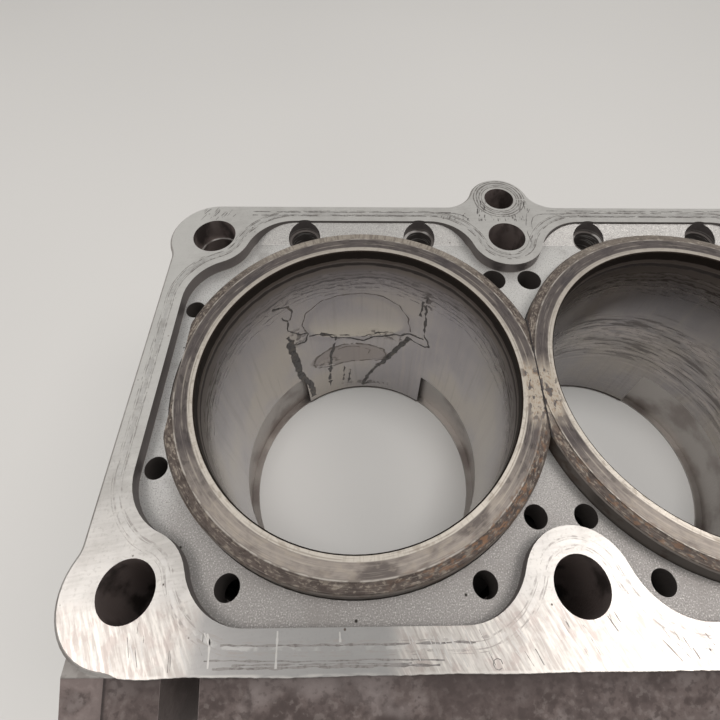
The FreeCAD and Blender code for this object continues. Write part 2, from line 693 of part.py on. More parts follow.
def core_plug(side, number, place):
    """A pressed cup, open to the outside."""
    body = new_body("core_plug_%s_%d" % (side, number))
    disc = new_sketch(body, "disc_plan")
    circle(disc, "0", "0", "core_hole")
    pad(body, disc, "disc", "core_plug_depth")
    hollow = new_sketch(body, "cup_plan", lift="core_plug_wall")
    circle(hollow, "0", "0", "core_hole - core_plug_wall")
    pocket(body, hollow, "cup", "core_plug_depth", reverse=True)
    if side == "front":
        face = "-(deck_front + shoulder_reach)"
        inward = face + " + core_plug_sink + core_plug_depth"
        tilt = 90
    else:
        face = "(deck_rear - flange_lip + core_boss_proud)"
        inward = face + " - core_plug_sink - core_plug_depth"
        tilt = -90
    body.Placement.Rotation = FreeCAD.Rotation(FreeCAD.Vector(1, 0, 0), tilt)
    bind(body, "Placement.Base.x", place)
    bind(body, "Placement.Base.y", inward)
    bind(body, "Placement.Base.z", "core_height")
    return body


def drain_plug():
    """A hexagon plug with a round washer face and a plain thread cylinder."""
    body = new_body("drain_plug")
    face = new_sketch(body, "collar_plan")
    circle(face, "0", "0", "drain_collar")
    pad(body, face, "plug_collar", "washer_thickness")
    head = new_sketch(body, "hexagon_plan")
    point = "drain_head / sqrt(3)"
    outline(head, [("%s * cos(%d deg)" % (point, angle), "%s * sin(%d deg)" % (point, angle))
                   for angle in range(0, 360, 60)])
    pad(body, head, "hexagon", "washer_thickness + drain_head_height")
    shank = new_sketch(body, "thread_plan")
    circle(shank, "0", "0", "drain_thread - 0.05")
    pad(body, shank, "thread", "drain_length", reverse=True)
    body.Placement.Rotation = FreeCAD.Rotation(FreeCAD.Vector(1, 0, 0), -90)
    bind(body, "Placement.Base.x", "-drain_offset")
    bind(body, "Placement.Base.y", "deck_rear + washer_thickness")
    bind(body, "Placement.Base.z", "drain_height")
    return body


def drain_plug_washer():
    body = new_body("drain_plug_washer")
    plan = new_sketch(body, "washer_plan")
    circle(plan, "0", "0", "washer_radius")
    circle(plan, "0", "0", "drain_thread + 0.1")
    pad(body, plan, "washer", "washer_thickness")
    body.Placement.Rotation = FreeCAD.Rotation(FreeCAD.Vector(1, 0, 0), -90)
    bind(body, "Placement.Base.x", "-drain_offset")
    bind(body, "Placement.Base.y", "deck_rear")
    bind(body, "Placement.Base.z", "drain_height")
    return body


parts = [block_casting()]
for number, place in enumerate(BORES, start=1):
    parts.append(cylinder_liner(number, place, 180 * (number - 1)))
    parts.append(seal_ring(number, place, "upper"))
    parts.append(seal_ring(number, place, "lower"))
    parts.append(core_plug("front", number, place))
    parts.append(core_plug("rear", number, place))
parts.append(drain_plug())
parts.append(drain_plug_washer())
doc.recompute()

for item in doc.Objects:
    if "Invalid" in item.State or "Error" in item.State:
        raise RuntimeError("%s did not build" % item.Label)
for part in parts:
    if part.Shape.isNull() or not part.Shape.isValid():
        raise RuntimeError("%s has no valid shape" % part.Label)
for part in parts:
    part.Shape.exportStep("parts/%s.step" % part.Label)
    box = part.Shape.BoundBox
    print("%-20s %8.1f mm3  x %.1f %.1f  y %.1f %.1f  z %.1f %.1f" % (
        part.Label, part.Shape.Volume, box.XMin, box.XMax, box.YMin, box.YMax,
        box.ZMin, box.ZMax))
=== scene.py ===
# %% [markdown]
# # An engine block, seen from above its deck
# This lesson dresses a two-cylinder aluminium block. The shapes arrive finished: a casting,
# two iron liners that stand in a trough of its deck, seals, pressed plugs and a drain plug.
# What is left is the part that makes metal look real: the way each surface was cut, cast or
# burnt, and the marks that years of use left on it.
#
# The frame is loaded first. Every size below is in millimetres until it reaches Blender,
# because that is how such a block is measured. +X runs along the cylinders, +Y is the side
# with the ear, and Z is the height above the base.

# %% Load the block
import math
import random

import bpy
from mathutils import Matrix, Vector, noise


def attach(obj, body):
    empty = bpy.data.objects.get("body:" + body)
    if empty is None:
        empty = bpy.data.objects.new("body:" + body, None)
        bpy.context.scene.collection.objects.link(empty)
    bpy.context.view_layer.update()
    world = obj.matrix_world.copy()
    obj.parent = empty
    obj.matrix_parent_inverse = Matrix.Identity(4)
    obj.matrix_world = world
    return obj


MM = 0.001
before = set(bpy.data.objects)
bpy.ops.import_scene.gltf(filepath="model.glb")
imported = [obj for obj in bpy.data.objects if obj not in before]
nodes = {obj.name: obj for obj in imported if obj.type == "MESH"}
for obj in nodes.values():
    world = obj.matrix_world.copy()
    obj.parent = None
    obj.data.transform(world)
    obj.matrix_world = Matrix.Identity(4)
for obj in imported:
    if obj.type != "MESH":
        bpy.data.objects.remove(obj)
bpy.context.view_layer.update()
print("pieces in the block:", ", ".join(sorted(nodes)))

# %% [markdown]
# ## The sizes that the finishes need
# A finish has to know where the metal changes: where the deck ends and the trough begins,
# how wide a liner's flange is, how high the block stands. These few numbers are the block's
# own, written out once.

# %% Named sizes of the block
DECK = 106.0
TROUGH_FLOOR = 101.35
BORE = 46.5
PITCH = 104.0
LINER_TOP = 107.6
BOLT_X = 104.0
FRONT_BOLTS = -53.2
REAR_BOLTS = 54.9
EAR = (0.0, 74.3)
TROUGH_END = 109.5
TROUGH_FRONT = -60.5
TROUGH_REAR = 62.3
BOSS = 12.85
BLEND = 16.2
print("deck at", DECK, "mm, trough", round(DECK - TROUGH_FLOOR, 2), "mm deep")

# %% [markdown]
# ## The camera
# The picture to match was taken by hand from close above the front edge, so the bores look
# like funnels. The camera's place and its three angles come from fitting the circles of the
# bores and the rows of bolt holes. From so close the far side of the block shrinks strongly,
# and only a wide lens, of about 25 mm, takes it all in. The small shifts are there because the
# lens axis didn't meet the middle of the picture. Three Euler angles would do as well, but
# worked out as three directions it stays plain which way the camera looks.

# %% Set the camera
EYE = Vector((-48.93, -66.43, 238.95))
LOOK_DOWN = 53.37
LOOK_ASIDE = -2.16
TILT = 1.80
camera = bpy.data.objects.new("camera", bpy.data.cameras.new("camera"))
bpy.context.scene.collection.objects.link(camera)
bpy.context.scene.camera = camera
camera.data.sensor_width = 36
camera.data.lens = 25.14
camera.data.shift_x = -0.030
camera.data.shift_y = -0.1015
camera.data.clip_start = 0.01

pitch, yaw, roll = (math.radians(angle) for angle in (LOOK_DOWN, LOOK_ASIDE, TILT))
level = Vector((math.cos(yaw), math.sin(yaw), 0))
ahead = Vector((-math.sin(yaw) * math.cos(pitch), math.cos(yaw) * math.cos(pitch), -math.sin(pitch)))
over = level.cross(ahead)
right = math.cos(roll) * level + math.sin(roll) * over
up = -math.sin(roll) * level + math.cos(roll) * over
turn = Matrix((right, up, -ahead)).transposed()
camera.matrix_world = Matrix.Translation(EYE * MM) @ turn.to_4x4()
print("camera", round(EYE.z - DECK), "mm above the deck, looking down by", LOOK_DOWN, "degrees")

# %% [markdown]
# ## Sums in a material
# A node tree can do any sum, but wiring it by hand hides what is meant. This small class
# stands for a number that changes from place to place on a surface. Adding or comparing two
# of them makes the matching node, so the finishes below read like short recipes.

# %% A number that changes over a surface
class Amount:
    """A number that differs from place to place on a surface."""

    def __init__(self, tree, socket):
        self.tree = tree
        self.socket = socket

    def sum_node(self, operation, *others):
        node = self.tree.nodes.new("ShaderNodeMath")
        node.operation = operation
        for socket, other in zip(node.inputs, (self, *others)):
            if isinstance(other, Amount):
                self.tree.links.new(other.socket, socket)
            else:
                socket.default_value = other
        return Amount(self.tree, node.outputs[0])

    def __add__(self, other):
        return self.sum_node("ADD", other)

    def __sub__(self, other):
        return self.sum_node("SUBTRACT", other)

    def __mul__(self, other):
        return self.sum_node("MULTIPLY", other)

    def __abs__(self):
        return self.sum_node("ABSOLUTE")

    def most(self, other):
        return self.sum_node("MAXIMUM", other)

    def least(self, other):
        return self.sum_node("MINIMUM", other)

    def inverse(self):
        return self * -1 + 1

    def rise(self, low, high):
        """0 up to low, 1 from high on, and a soft step between. Low may be above high."""
        node = self.tree.nodes.new("ShaderNodeMapRange")
        node.interpolation_type = "SMOOTHSTEP"
        node.inputs["From Min"].default_value = min(low, high)
        node.inputs["From Max"].default_value = max(low, high)
        node.inputs["To Min"].default_value = 0 if low < high else 1
        node.inputs["To Max"].default_value = 1 if low < high else 0
        self.tree.links.new(self.socket, node.inputs["Value"])
        return Amount(self.tree, node.outputs["Result"])

    def band(self, low, high, soft):
        """1 between low and high, fading to 0 over soft on both sides."""
        return self.rise(low - soft, low + soft) * self.rise(high + soft, high - soft)


print("an amount can be asked for:", ", ".join(name for name in vars(Amount) if name[0] != "_"))

# %% [markdown]
# ## Place, direction and grain
# Before anything is laid, a finish has to know where it is on the piece. `Surface` makes an
# empty material and reads three things: the place in millimetres, the direction in which the
# metal faces, and noise. Image textures could carry the grain too, but they would have to be
# unwrapped onto every curved face, and from close by they blur. Noise that is worked out from
# the place stays sharp. All places are read in the object's own coordinates, so nothing
# slides when the block is moved.

# %% Reading a surface
class Surface:
    """An empty material, and what can be read from place to place on it."""

    def __init__(self, name):
        self.material = bpy.data.materials.new(name)
        self.material.use_nodes = True
        self.tree = self.material.node_tree
        scaled = self.tree.nodes.new("ShaderNodeVectorMath")
        scaled.operation = "SCALE"
        scaled.inputs["Scale"].default_value = 1 / MM
        coordinates = self.tree.nodes.new("ShaderNodeTexCoord")
        self.tree.links.new(coordinates.outputs["Object"], scaled.inputs[0])
        self.place = scaled.outputs[0]
        self.x, self.y, self.z = self.parts(self.place)
        geometry = self.tree.nodes.new("ShaderNodeNewGeometry")
        self.facing = self.parts(geometry.outputs["True Normal"])

    def parts(self, vector):
        node = self.tree.nodes.new("ShaderNodeSeparateXYZ")
        self.tree.links.new(vector, node.inputs[0])
        return [Amount(self.tree, output) for output in node.outputs]

    def vector(self, *amounts):
        node = self.tree.nodes.new("ShaderNodeCombineXYZ")
        for socket, amount in zip(node.inputs, amounts):
            if isinstance(amount, Amount):
                self.tree.links.new(amount.socket, socket)
            else:
                socket.default_value = amount
        return node.outputs[0]

    def distance(self, x, y):
        """How far each place is, seen from above, from the upright line at x, y."""
        node = self.tree.nodes.new("ShaderNodeVectorMath")
        node.operation = "DISTANCE"
        self.tree.links.new(self.vector(self.x, self.y, 0), node.inputs[0])
        node.inputs[1].default_value = (x, y, 0)
        return Amount(self.tree, node.outputs["Value"])

    def grain(self, size, stretch=(1, 1, 1), turn=0, shift=0, detail=3, place=None):
        """Cloudy noise from 0 to 1 whose clouds are about size millimetres across.

        Stretch draws them out along x, y and z, and turn swings the drawn-out clouds round
        the upright axis, in degrees.
        """
        mapping = self.tree.nodes.new("ShaderNodeMapping")
        mapping.vector_type = "TEXTURE"
        mapping.inputs["Location"].default_value = (shift * size, shift * size * 1.7, shift * size * 0.6)
        mapping.inputs["Rotation"].default_value = (0, 0, math.radians(turn))
        mapping.inputs["Scale"].default_value = [size * s for s in stretch]
        self.tree.links.new(place or self.place, mapping.inputs["Vector"])
        node = self.tree.nodes.new("ShaderNodeTexNoise")
        node.inputs["Scale"].default_value = 1
        node.inputs["Detail"].default_value = detail
        self.tree.links.new(mapping.outputs[0], node.inputs["Vector"])
        return Amount(self.tree, node.outputs[0])

    def oval(self, x, z, half_wide, half_high):
        """0 in the middle of an oval seen from the front, 1 on its edge, and more outside."""
        node = self.tree.nodes.new("ShaderNodeVectorMath")
        node.operation = "LENGTH"
        across = (self.x - x) * (1 / half_wide)
        upwards = (self.z - z) * (1 / half_high)
        self.tree.links.new(self.vector(across, 0, upwards), node.inputs[0])
        return Amount(self.tree, node.outputs["Value"])

    def specks(self, size, shift=0):
        """The distance, from 0 up, to the nearest of scattered points about size apart."""
        mapping = self.tree.nodes.new("ShaderNodeMapping")
        mapping.inputs["Location"].default_value = (shift, shift, shift)
        mapping.inputs["Scale"].default_value = (1 / size,) * 3
        self.tree.links.new(self.place, mapping.inputs["Vector"])
        node = self.tree.nodes.new("ShaderNodeTexVoronoi")
        node.inputs["Scale"].default_value = 1
        self.tree.links.new(mapping.outputs[0], node.inputs["Vector"])
        return Amount(self.tree, node.outputs["Distance"])


print("a surface can give:", ", ".join(name for name in vars(Surface) if name[0] != "_"))

# %% [markdown]
# ## A finish is laid in coats
# Real metal gets its look in layers: first the cast or cut surface, then grime, rust, wear.
# A `Finish` is built the same way. It starts with one colour, and each coat is laid where
# its mask says. A coat can change the colour, the roughness or how metallic the surface is.
# Separate materials for each face would leave hard borders where the marks of use run on.

# %% The finish class
class Finish(Surface):
    """One material, laid in coats."""

    def __init__(self, name, colour, rough, metal):
        super().__init__(name)
        self.shader = self.tree.nodes["Principled BSDF"]
        self.shader.inputs["Base Color"].default_value = (*colour, 1)
        self.shader.inputs["Roughness"].default_value = rough
        self.shader.inputs["Metallic"].default_value = metal
        self.relief = None

    def lay(self, mask, colour=None, rough=None, metal=None):
        """Lay a coat where the mask is 1, and let the coats below show where it is 0."""
        for name, new in (("Base Color", colour), ("Roughness", rough), ("Metallic", metal)):
            if new is None:
                continue
            socket = self.shader.inputs[name]
            mix = self.tree.nodes.new("ShaderNodeMix")
            mix.data_type = "RGBA" if name == "Base Color" else "FLOAT"
            spots = [s for s in mix.inputs if s.enabled]
            below, above = spots[1], spots[2]
            if socket.is_linked:
                self.tree.links.new(socket.links[0].from_socket, below)
            else:
                below.default_value = socket.default_value
            above.default_value = (*new, 1) if name == "Base Color" else new
            self.tree.links.new(mask.socket, spots[0])
            self.tree.links.new([s for s in mix.outputs if s.enabled][0], socket)
        return self

    def press(self, height):
        """Add to the relief, in millimetres."""
        self.relief = height if self.relief is None else self.relief + height
        return self

    def finished(self):
        """Turn the relief into bumps and return the material."""
        if self.relief is not None:
            bump = self.tree.nodes.new("ShaderNodeBump")
            bump.inputs["Distance"].default_value = MM
            self.tree.links.new(self.relief.socket, bump.inputs["Height"])
            self.tree.links.new(bump.outputs[0], self.shader.inputs["Normal"])
        return self.material


def dress(name, material):
    """Give a piece of the block its finish."""
    for slot in nodes[name].material_slots:
        slot.material = material
    print("dressed", name, "with", material.name)


print("a finish can be given:", ", ".join(name for name in vars(Finish) if name[0] != "_"))

# %% [markdown]
# ## The table
# The block lies on a plain white table. One large square is enough, because only its tone and
# the shadows on it are seen, and a very wide cloud of a second white keeps the tone from being
# dead even. Its size is in metres, as Blender counts, unlike the block's.

# %% The table
TABLE_HALF = 3
CORNER_SIGNS = ((-1, -1), (1, -1), (1, 1), (-1, 1))
table_top = bpy.data.meshes.new("table")
table_top.from_pydata([(a * TABLE_HALF, b * TABLE_HALF, 0) for a, b in CORNER_SIGNS], [], [(0, 1, 2, 3)])
table = bpy.data.objects.new("table", table_top)
bpy.context.scene.collection.objects.link(table)
paint = Finish("table_white", (0.455, 0.449, 0.438), 0.55, 0)
paint.lay(paint.grain(900), (0.63, 0.62, 0.60))
table.data.materials.append(paint.finished())
print("the table is", 2 * TABLE_HALF, "m wide")

# %% [markdown]
# ## The lamps
# Bare metal is mostly a mirror, so it shows where the lamps are. Two soft lamps hang overhead,
# to the left and to the right, with a gap between them: the deck mirrors them near its front
# corners, and mirrors the dimmer gap in its middle. A third lamp shines straight down the
# bores and lights the table there. The bores' walls would mirror that one as a bright patch,
# so it is left out of the mirror images. Places and sizes are in metres here too.

# %% The lamps
AIM = Vector((-0.05, 0, 0.1))
SIDE_TINT = (1.0, 0.94, 0.90)


def lamp(name, spot, width, depth, power, tint):
    """One soft lamp, turned towards the first bore."""
    light = bpy.data.lights.new(name, "AREA")
    light.shape = "RECTANGLE"
    light.size = width
    light.size_y = depth
    light.energy = power
    light.color = tint
    holder = bpy.data.objects.new(name, light)
    bpy.context.scene.collection.objects.link(holder)
    holder.location = spot
    holder.rotation_euler = (AIM - Vector(spot)).to_track_quat("-Z", "Y").to_euler()
    print(name, "hangs", round((AIM - Vector(spot)).length, 2), "m away")
    return holder


lamp("lamp_left", (-0.72, -0.20, 1.25), 0.50, 0.42, 2.8, SIDE_TINT)
lamp("lamp_right", (0.62, -0.04, 1.25), 0.50, 0.50, 3.8, SIDE_TINT)
lamp_over = lamp("lamp_over", (0.0, -0.02, 1.30), 0.50, 0.35, 11.5, (1.0, 0.99, 0.98))
lamp_over.visible_glossy = False

# %% [markdown]
# ## The light from all around
# The room is an even pale grey. The camera and the mirror images see that grey as it is, but
# it sheds less light than it shows: an even light that strong would wash out the shadows of
# the lamps. Two backgrounds do this, and the light path node chooses between them.

# %% The room
world = bpy.data.worlds.new("room")
bpy.context.scene.world = world
world.use_nodes = True
tree = world.node_tree
shown = tree.nodes["Background"]
shown.inputs["Color"].default_value = (0.70, 0.69, 0.67, 1)
lighting = tree.nodes.new("ShaderNodeBackground")
lighting.inputs["Color"].default_value = (1.0, 0.985, 0.96, 1)
lighting.inputs["Strength"].default_value = 0.32
path = tree.nodes.new("ShaderNodeLightPath")
seen = Amount(tree, path.outputs["Is Camera Ray"])
seen = seen.most(Amount(tree, path.outputs["Is Glossy Ray"]))
seen = seen.most(Amount(tree, path.outputs["Is Transmission Ray"]))
choice = tree.nodes.new("ShaderNodeMixShader")
tree.links.new(seen.socket, choice.inputs[0])
tree.links.new(lighting.outputs[0], choice.inputs[1])
tree.links.new(shown.outputs[0], choice.inputs[2])
tree.links.new(choice.outputs[0], tree.nodes["World Output"].inputs["Surface"])
bpy.context.scene.view_settings.view_transform = "Standard"

# %% [markdown]
# ## Cut aluminium: the deck
# The deck was milled flat, then lived under a head gasket. What is left is a light, warm
# grey with soft blotches, a fine grain from the cutter, and small dark pits. Along the front
# it was scraped clean aslant, apart from a stretch painted darker as a painted reflection of
# something dark above it. It is made as a function, because the gasket's marks further down
# need the same metal underneath.

# %% The milled deck finish
CUTTER_TURN = 8
SCRAPE_TURN = -62
# Where along the front the painted dark reflection lies, in millimetres.
DARK_REFLECTION_SPAN = (-88, -42)


def lay_milled(finish, where):
    """Lay the milled and aged aluminium of the deck, with a painted dark reflection along the front, where
    the mask says.
    """
    x, y = finish.x, finish.y
    blotch = finish.grain(7, shift=3, detail=6)
    stipple = finish.grain(0.7, shift=6, detail=4)
    cutter = finish.grain(0.7, stretch=(12, 1, 1), turn=CUTTER_TURN, detail=3)
    finish.lay(where, (0.53, 0.517, 0.50), 0.34, 1.0)
    finish.lay(where * blotch.rise(0.46, 0.66) * 0.6, (0.40, 0.385, 0.368))
    finish.lay(where * blotch.rise(0.48, 0.34) * 0.6, (0.58, 0.565, 0.54))
    finish.lay(where * stipple.rise(0.54, 0.68) * 0.4, (0.34, 0.325, 0.31))
    finish.lay(where * cutter.rise(0.52, 0.66) * 0.2, (0.36, 0.345, 0.33))
    finish.lay(where * cutter.rise(0.46, 0.34) * 0.2, (0.64, 0.625, 0.60))

    front = where * y.rise(-54, -59)
    # Painted reflection: this stretch of the front is painted darker, as the reflection of something dark
    # above it.
    dark_reflection = front * x.band(*DARK_REFLECTION_SPAN, 3)
    finish.lay(dark_reflection * 0.8, (0.29, 0.288, 0.288))
    scraped = front * x.band(*DARK_REFLECTION_SPAN, 4).inverse()
    scrapes = finish.grain(0.75, stretch=(6.5, 1, 1), turn=SCRAPE_TURN, shift=8, detail=3)
    rosy = finish.grain(2.6, shift=15, detail=4)
    finish.lay(scraped * 0.6, (0.50, 0.475, 0.45))
    finish.lay(scraped * rosy.rise(0.48, 0.62) * 0.7, (0.44, 0.385, 0.365))
    finish.lay(scraped * scrapes.rise(0.50, 0.62) * 0.6, (0.35, 0.315, 0.295))
    finish.lay(scraped * scrapes.rise(0.48, 0.38) * 0.7, (0.66, 0.635, 0.60))
    finish.lay(where * finish.specks(6.5).rise(0.060, 0.035), (0.12, 0.10, 0.09), 0.6)
    finish.press(scraped * scrapes * 0.0006)


print("the cutter's grain lies at", CUTTER_TURN, "degrees, the scraping at", SCRAPE_TURN)

# %% [markdown]
# ## The casting's skin
# The casting left a sand mould with a pebbly skin, and oil and dust settled in its hollows.
# Sculpting each pebble would take millions of faces, so the pebbles are bumps, pressed in
# further down. The colour comes first in wide patches and then in small stains, each of them
# once darker and once paler than the metal.

# %% The cast skin
casting = Finish("cast_aluminium", (0.34, 0.325, 0.31), 0.62, 0.7)
pebbles = casting.grain(1.1, detail=2)
patches = casting.grain(17, shift=9, detail=8)
stains = casting.grain(2.4, shift=19, detail=6)
casting.lay(patches.rise(0.44, 0.70) * 0.7, (0.215, 0.195, 0.182), 0.70)
casting.lay(patches.rise(0.48, 0.28) * 0.7, (0.42, 0.405, 0.39), 0.55)
casting.lay(stains.rise(0.52, 0.66) * 0.45, (0.19, 0.17, 0.158), 0.72)
casting.lay(stains.rise(0.46, 0.34) * 0.35, (0.45, 0.435, 0.415), 0.55)

x, y, z = casting.x, casting.y, casting.z
upward = casting.facing[2].rise(0.6, 0.9)
downward = casting.facing[2].rise(-0.6, -0.9)
upright = abs(casting.facing[2]).rise(0.6, 0.4)
print("the skin and its masks take", len(casting.tree.nodes), "nodes")

# %% [markdown]
# ## The front shoulder
# Below the deck's front edge a wide shoulder sticks out, and it took the most grime: brown and
# mauve, with darker patches, pale clouds and runs that go down. It is also darker just under
# the deck.
# Near each end is an upright slot with a paler, rosy floor, and the left one has a dark side.
# The shoulder is one shape with the rest of the casting, so a mask picks it out by place.

# %% The shoulder's grime
SOOT = (0.065, 0.050, 0.047)
shoulder = y.rise(-68.6, -68.9)
smoke = casting.grain(7, shift=21, detail=7)
soot_grain = casting.grain(1.6, shift=22, detail=6)
drip = casting.grain(5, stretch=(1, 1, 4), shift=23, detail=5)
casting.lay(shoulder, (0.125, 0.098, 0.092), 0.62, 0.35)
casting.lay(shoulder * smoke.rise(0.50, 0.62) * 0.8, (0.060, 0.045, 0.042), 0.75)
casting.lay(shoulder * smoke.rise(0.46, 0.34) * 0.6, (0.21, 0.178, 0.170), 0.55)
casting.lay(shoulder * drip.rise(0.50, 0.62) * 0.5, (0.075, 0.058, 0.055), 0.7)
casting.lay(shoulder * soot_grain.rise(0.50, 0.64) * 0.55, SOOT, 0.7)
casting.lay(shoulder * soot_grain.rise(0.46, 0.34) * 0.45, (0.20, 0.170, 0.160), 0.55)
clouded = casting.grain(26, shift=24, detail=4)
casting.lay(shoulder * clouded.rise(0.50, 0.60) * 0.6, (0.27, 0.232, 0.224), 0.55)
casting.lay(shoulder * clouded.rise(0.46, 0.38) * 0.45, (0.070, 0.053, 0.050), 0.7)
casting.lay(shoulder * soot_grain.rise(0.54, 0.66) * 0.4, SOOT, 0.7)
# Darker just under the deck's edge.
casting.lay(shoulder * z.rise(101, 105.5) * 0.65, (0.040, 0.032, 0.031), 0.7)

SLOT = (84.7, 92.9)
SLOT_FOOT = 14
slots = y.rise(-61.5, -64.0) * abs(x).band(*SLOT, 0.15) * z.rise(SLOT_FOOT, SLOT_FOOT + 1)
casting.lay(slots, (0.33, 0.285, 0.27), 0.6, 0.1)
casting.lay(slots * smoke.rise(0.44, 0.58) * 0.8, (0.16, 0.132, 0.125), 0.7)
casting.lay(slots * (x + soot_grain * 3).rise(-86.0, -88.0) * 0.9, (0.06, 0.048, 0.045), 0.7)

END_LINE = (104.2, 105.2)
ends = shoulder * abs(x).rise(105.2, 105.8)
casting.lay(shoulder * abs(x).band(*END_LINE, 0.3) * 0.85, (0.035, 0.028, 0.027), 0.8)
casting.lay(ends * smoke.rise(0.38, 0.56) * 0.55, (0.27, 0.22, 0.208), 0.6)
print("the slots are painted from", SLOT[0], "to", SLOT[1], "mm on either side of the middle")

# %% [markdown]
# ## The trough
# The trough's floor was blasted clean, so it is bright and sparkles. It is painted darker at
# the front as painted shade, and paler towards the rear and the left end as painted light. The
# ramp along the rear wall is a little greyer. The walls kept a brown film. What is floor and
# what is wall follows from the height and from the direction the metal faces, so one material
# can hold both, with a sharp border between them.

# %% The trough's floor and walls
inside_ends = abs(x).rise(TROUGH_END + 0.7, TROUGH_END + 0.4)
behind_front = y.rise(TROUGH_FRONT - 0.7, TROUGH_FRONT - 0.4)
before_rear = y.rise(TROUGH_REAR + 0.7, TROUGH_REAR + 0.4)
in_trough = inside_ends * behind_front * before_rear
walls = in_trough * z.rise(TROUGH_FLOOR + 0.15, TROUGH_FLOOR + 0.35) * upright
casting.lay(walls, (0.165, 0.147, 0.143), 0.55, 0.5)
casting.lay(walls * z.rise(103.8, 105.8) * 0.6, (0.17, 0.155, 0.145))

above_floor = z.rise(TROUGH_FLOOR - 0.45, TROUGH_FLOOR - 0.15)
below_deck = z.rise(DECK - 0.4, DECK - 0.7)
blasted = in_trough * upward * above_floor * below_deck
sparkle = casting.grain(0.34, detail=2)
dirt = casting.grain(11, shift=17, detail=5)
# Painted shade and light: the floor's base is dark for the shaded front, and the next coats make it paler
# towards the rear and the left end.
casting.lay(blasted, (0.30, 0.288, 0.280), 0.50, 0.85)
casting.lay(blasted * y.rise(-50, 0), (0.50, 0.495, 0.485))
casting.lay(blasted * y.rise(10, 40), (0.62, 0.615, 0.60))
casting.lay(blasted * x.rise(-96, -103) * y.rise(-50, -20) * 0.7, (0.60, 0.60, 0.595))
casting.lay(blasted * y.rise(54.2, 55.0), (0.40, 0.395, 0.385))
casting.lay(blasted * sparkle.rise(0.54, 0.70) * 0.7, (0.56, 0.55, 0.53), 0.40)
casting.lay(blasted * sparkle.rise(0.46, 0.34) * 0.6, (0.22, 0.21, 0.205), 0.58)
casting.lay(blasted * dirt.rise(0.52, 0.70) * 0.5, (0.26, 0.245, 0.235))
casting.lay(blasted * casting.specks(6.5, shift=4).rise(0.070, 0.035), (0.05, 0.045, 0.04), 0.7)
casting.press(blasted * sparkle * 0.05)
print("the trough is dressed between", TROUGH_FLOOR, "and", DECK, "mm")

# %% [markdown]
# ## Below the trough
# Below the floor everything is dark with old coolant. The drill left fine bright rings in the
# large rear holes, and from above they are what tells a drilled hole from a black spot. The
# collars that guide the liners' feet were turned, so they are bright under a brown bloom.

# %% Drilled holes and collars
COLLAR_EDGE = 50.4
COLLAR_ZONE = 31
inside = in_trough * z.rise(TROUGH_FLOOR - 0.05, TROUGH_FLOOR - 0.35)
casting.lay(inside, (0.085, 0.075, 0.07), 0.7, 0.2)
drilled = casting.grain(0.7, stretch=(14, 14, 1), shift=27, detail=2)
casting.lay(inside * y.rise(50, 52) * drilled.rise(0.54, 0.64) * 0.8, (0.40, 0.385, 0.37), 0.35)
to_axis = casting.distance(-PITCH / 2, 0).least(casting.distance(PITCH / 2, 0))
in_collar = to_axis.rise(COLLAR_EDGE + 0.2, COLLAR_EDGE - 0.2)
collars = in_collar * z.rise(COLLAR_ZONE + 1, COLLAR_ZONE - 1)
casting.lay(collars, (0.45, 0.425, 0.405), 0.38, 0.9)
casting.lay(collars * patches.rise(0.46, 0.66) * 0.7, (0.26, 0.225, 0.21), 0.5)
print("the collars' finish ends about", COLLAR_ZONE, "mm above the base")

# %% [markdown]
# ## The cut faces
# The deck, the base and the inlet's face were all milled, so they share the deck's finish.
# The milled faces are painted a little paler towards the rear and at the left end, as a
# painted reflection. The pebbles and patches are pressed in only where the skin was neither
# milled nor blasted.

# %% The cut faces and the pebbles
inlet_face = x.rise(-118.2, -118.4) * z.band(42, 90, 1) * abs(y).rise(36, 34)
deck_face = upward * z.rise(DECK - 0.3, DECK - 0.15)
milled = deck_face + downward * z.rise(0.6, 0.4) + inlet_face
lay_milled(casting, milled.least(1))
# Painted reflection: the milled faces are painted paler towards the rear and at the left end.
casting.lay(milled.least(1) * y.rise(-45, -10) * 0.35, (0.66, 0.65, 0.625))
casting.lay(milled.least(1) * x.rise(-103, -110) * y.rise(-30, 5) * 0.35, (0.72, 0.71, 0.685))
casting.press((pebbles * 0.10 + patches * 0.25) * (milled + blasted).least(1).inverse())
print("the casting takes", len(casting.tree.nodes), "nodes so far")

# %% [markdown]
# ## The bolt holes
# The walls of the bolt holes have a rosy shine, with grime in streaks that run down. One mask
# serves all seven holes: the distance to whichever hole is nearest. A mask for each hole would
# do the same with many more nodes.

# %% The walls of the bolt holes
HOLE_ZONE = 7.65
near_bolts = None
for row in (FRONT_BOLTS, REAR_BOLTS):
    for column in (-BOLT_X, 0, BOLT_X):
        gap = casting.distance(column, row)
        near_bolts = gap if near_bolts is None else near_bolts.least(gap)
near_bolts = near_bolts.least(casting.distance(*EAR) + 1.9)
bolt_walls = near_bolts.rise(HOLE_ZONE + 0.25, HOLE_ZONE - 0.25) * upright
runs = casting.grain(9, stretch=(1, 1, 2), shift=25, detail=4)
casting.lay(bolt_walls, (0.36, 0.30, 0.285), 0.42, 0.6)
casting.lay(bolt_walls * runs.rise(0.46, 0.62), (0.09, 0.075, 0.07), 0.5)
cast_metal = casting.finished()
dress("block_casting", cast_metal)

# %% [markdown]
# ## The top of a liner
# A liner has the most to show. From the bore outwards its top has a beige machined ring, a
# dark sooty ring where the gasket's fire ring sat, a painted glint along a fine edge, and a worn
# brown rim with rust. All of it depends on the distance from the bore's axis. Plain noise would
# cut across the rings, so the grain is read at a spot pulled onto a ring, and follows it.

# %% The rings of a flange
CUT_EDGE = 48.3
SOOT_EDGE = 51.75
RIM_EDGE = 52.2


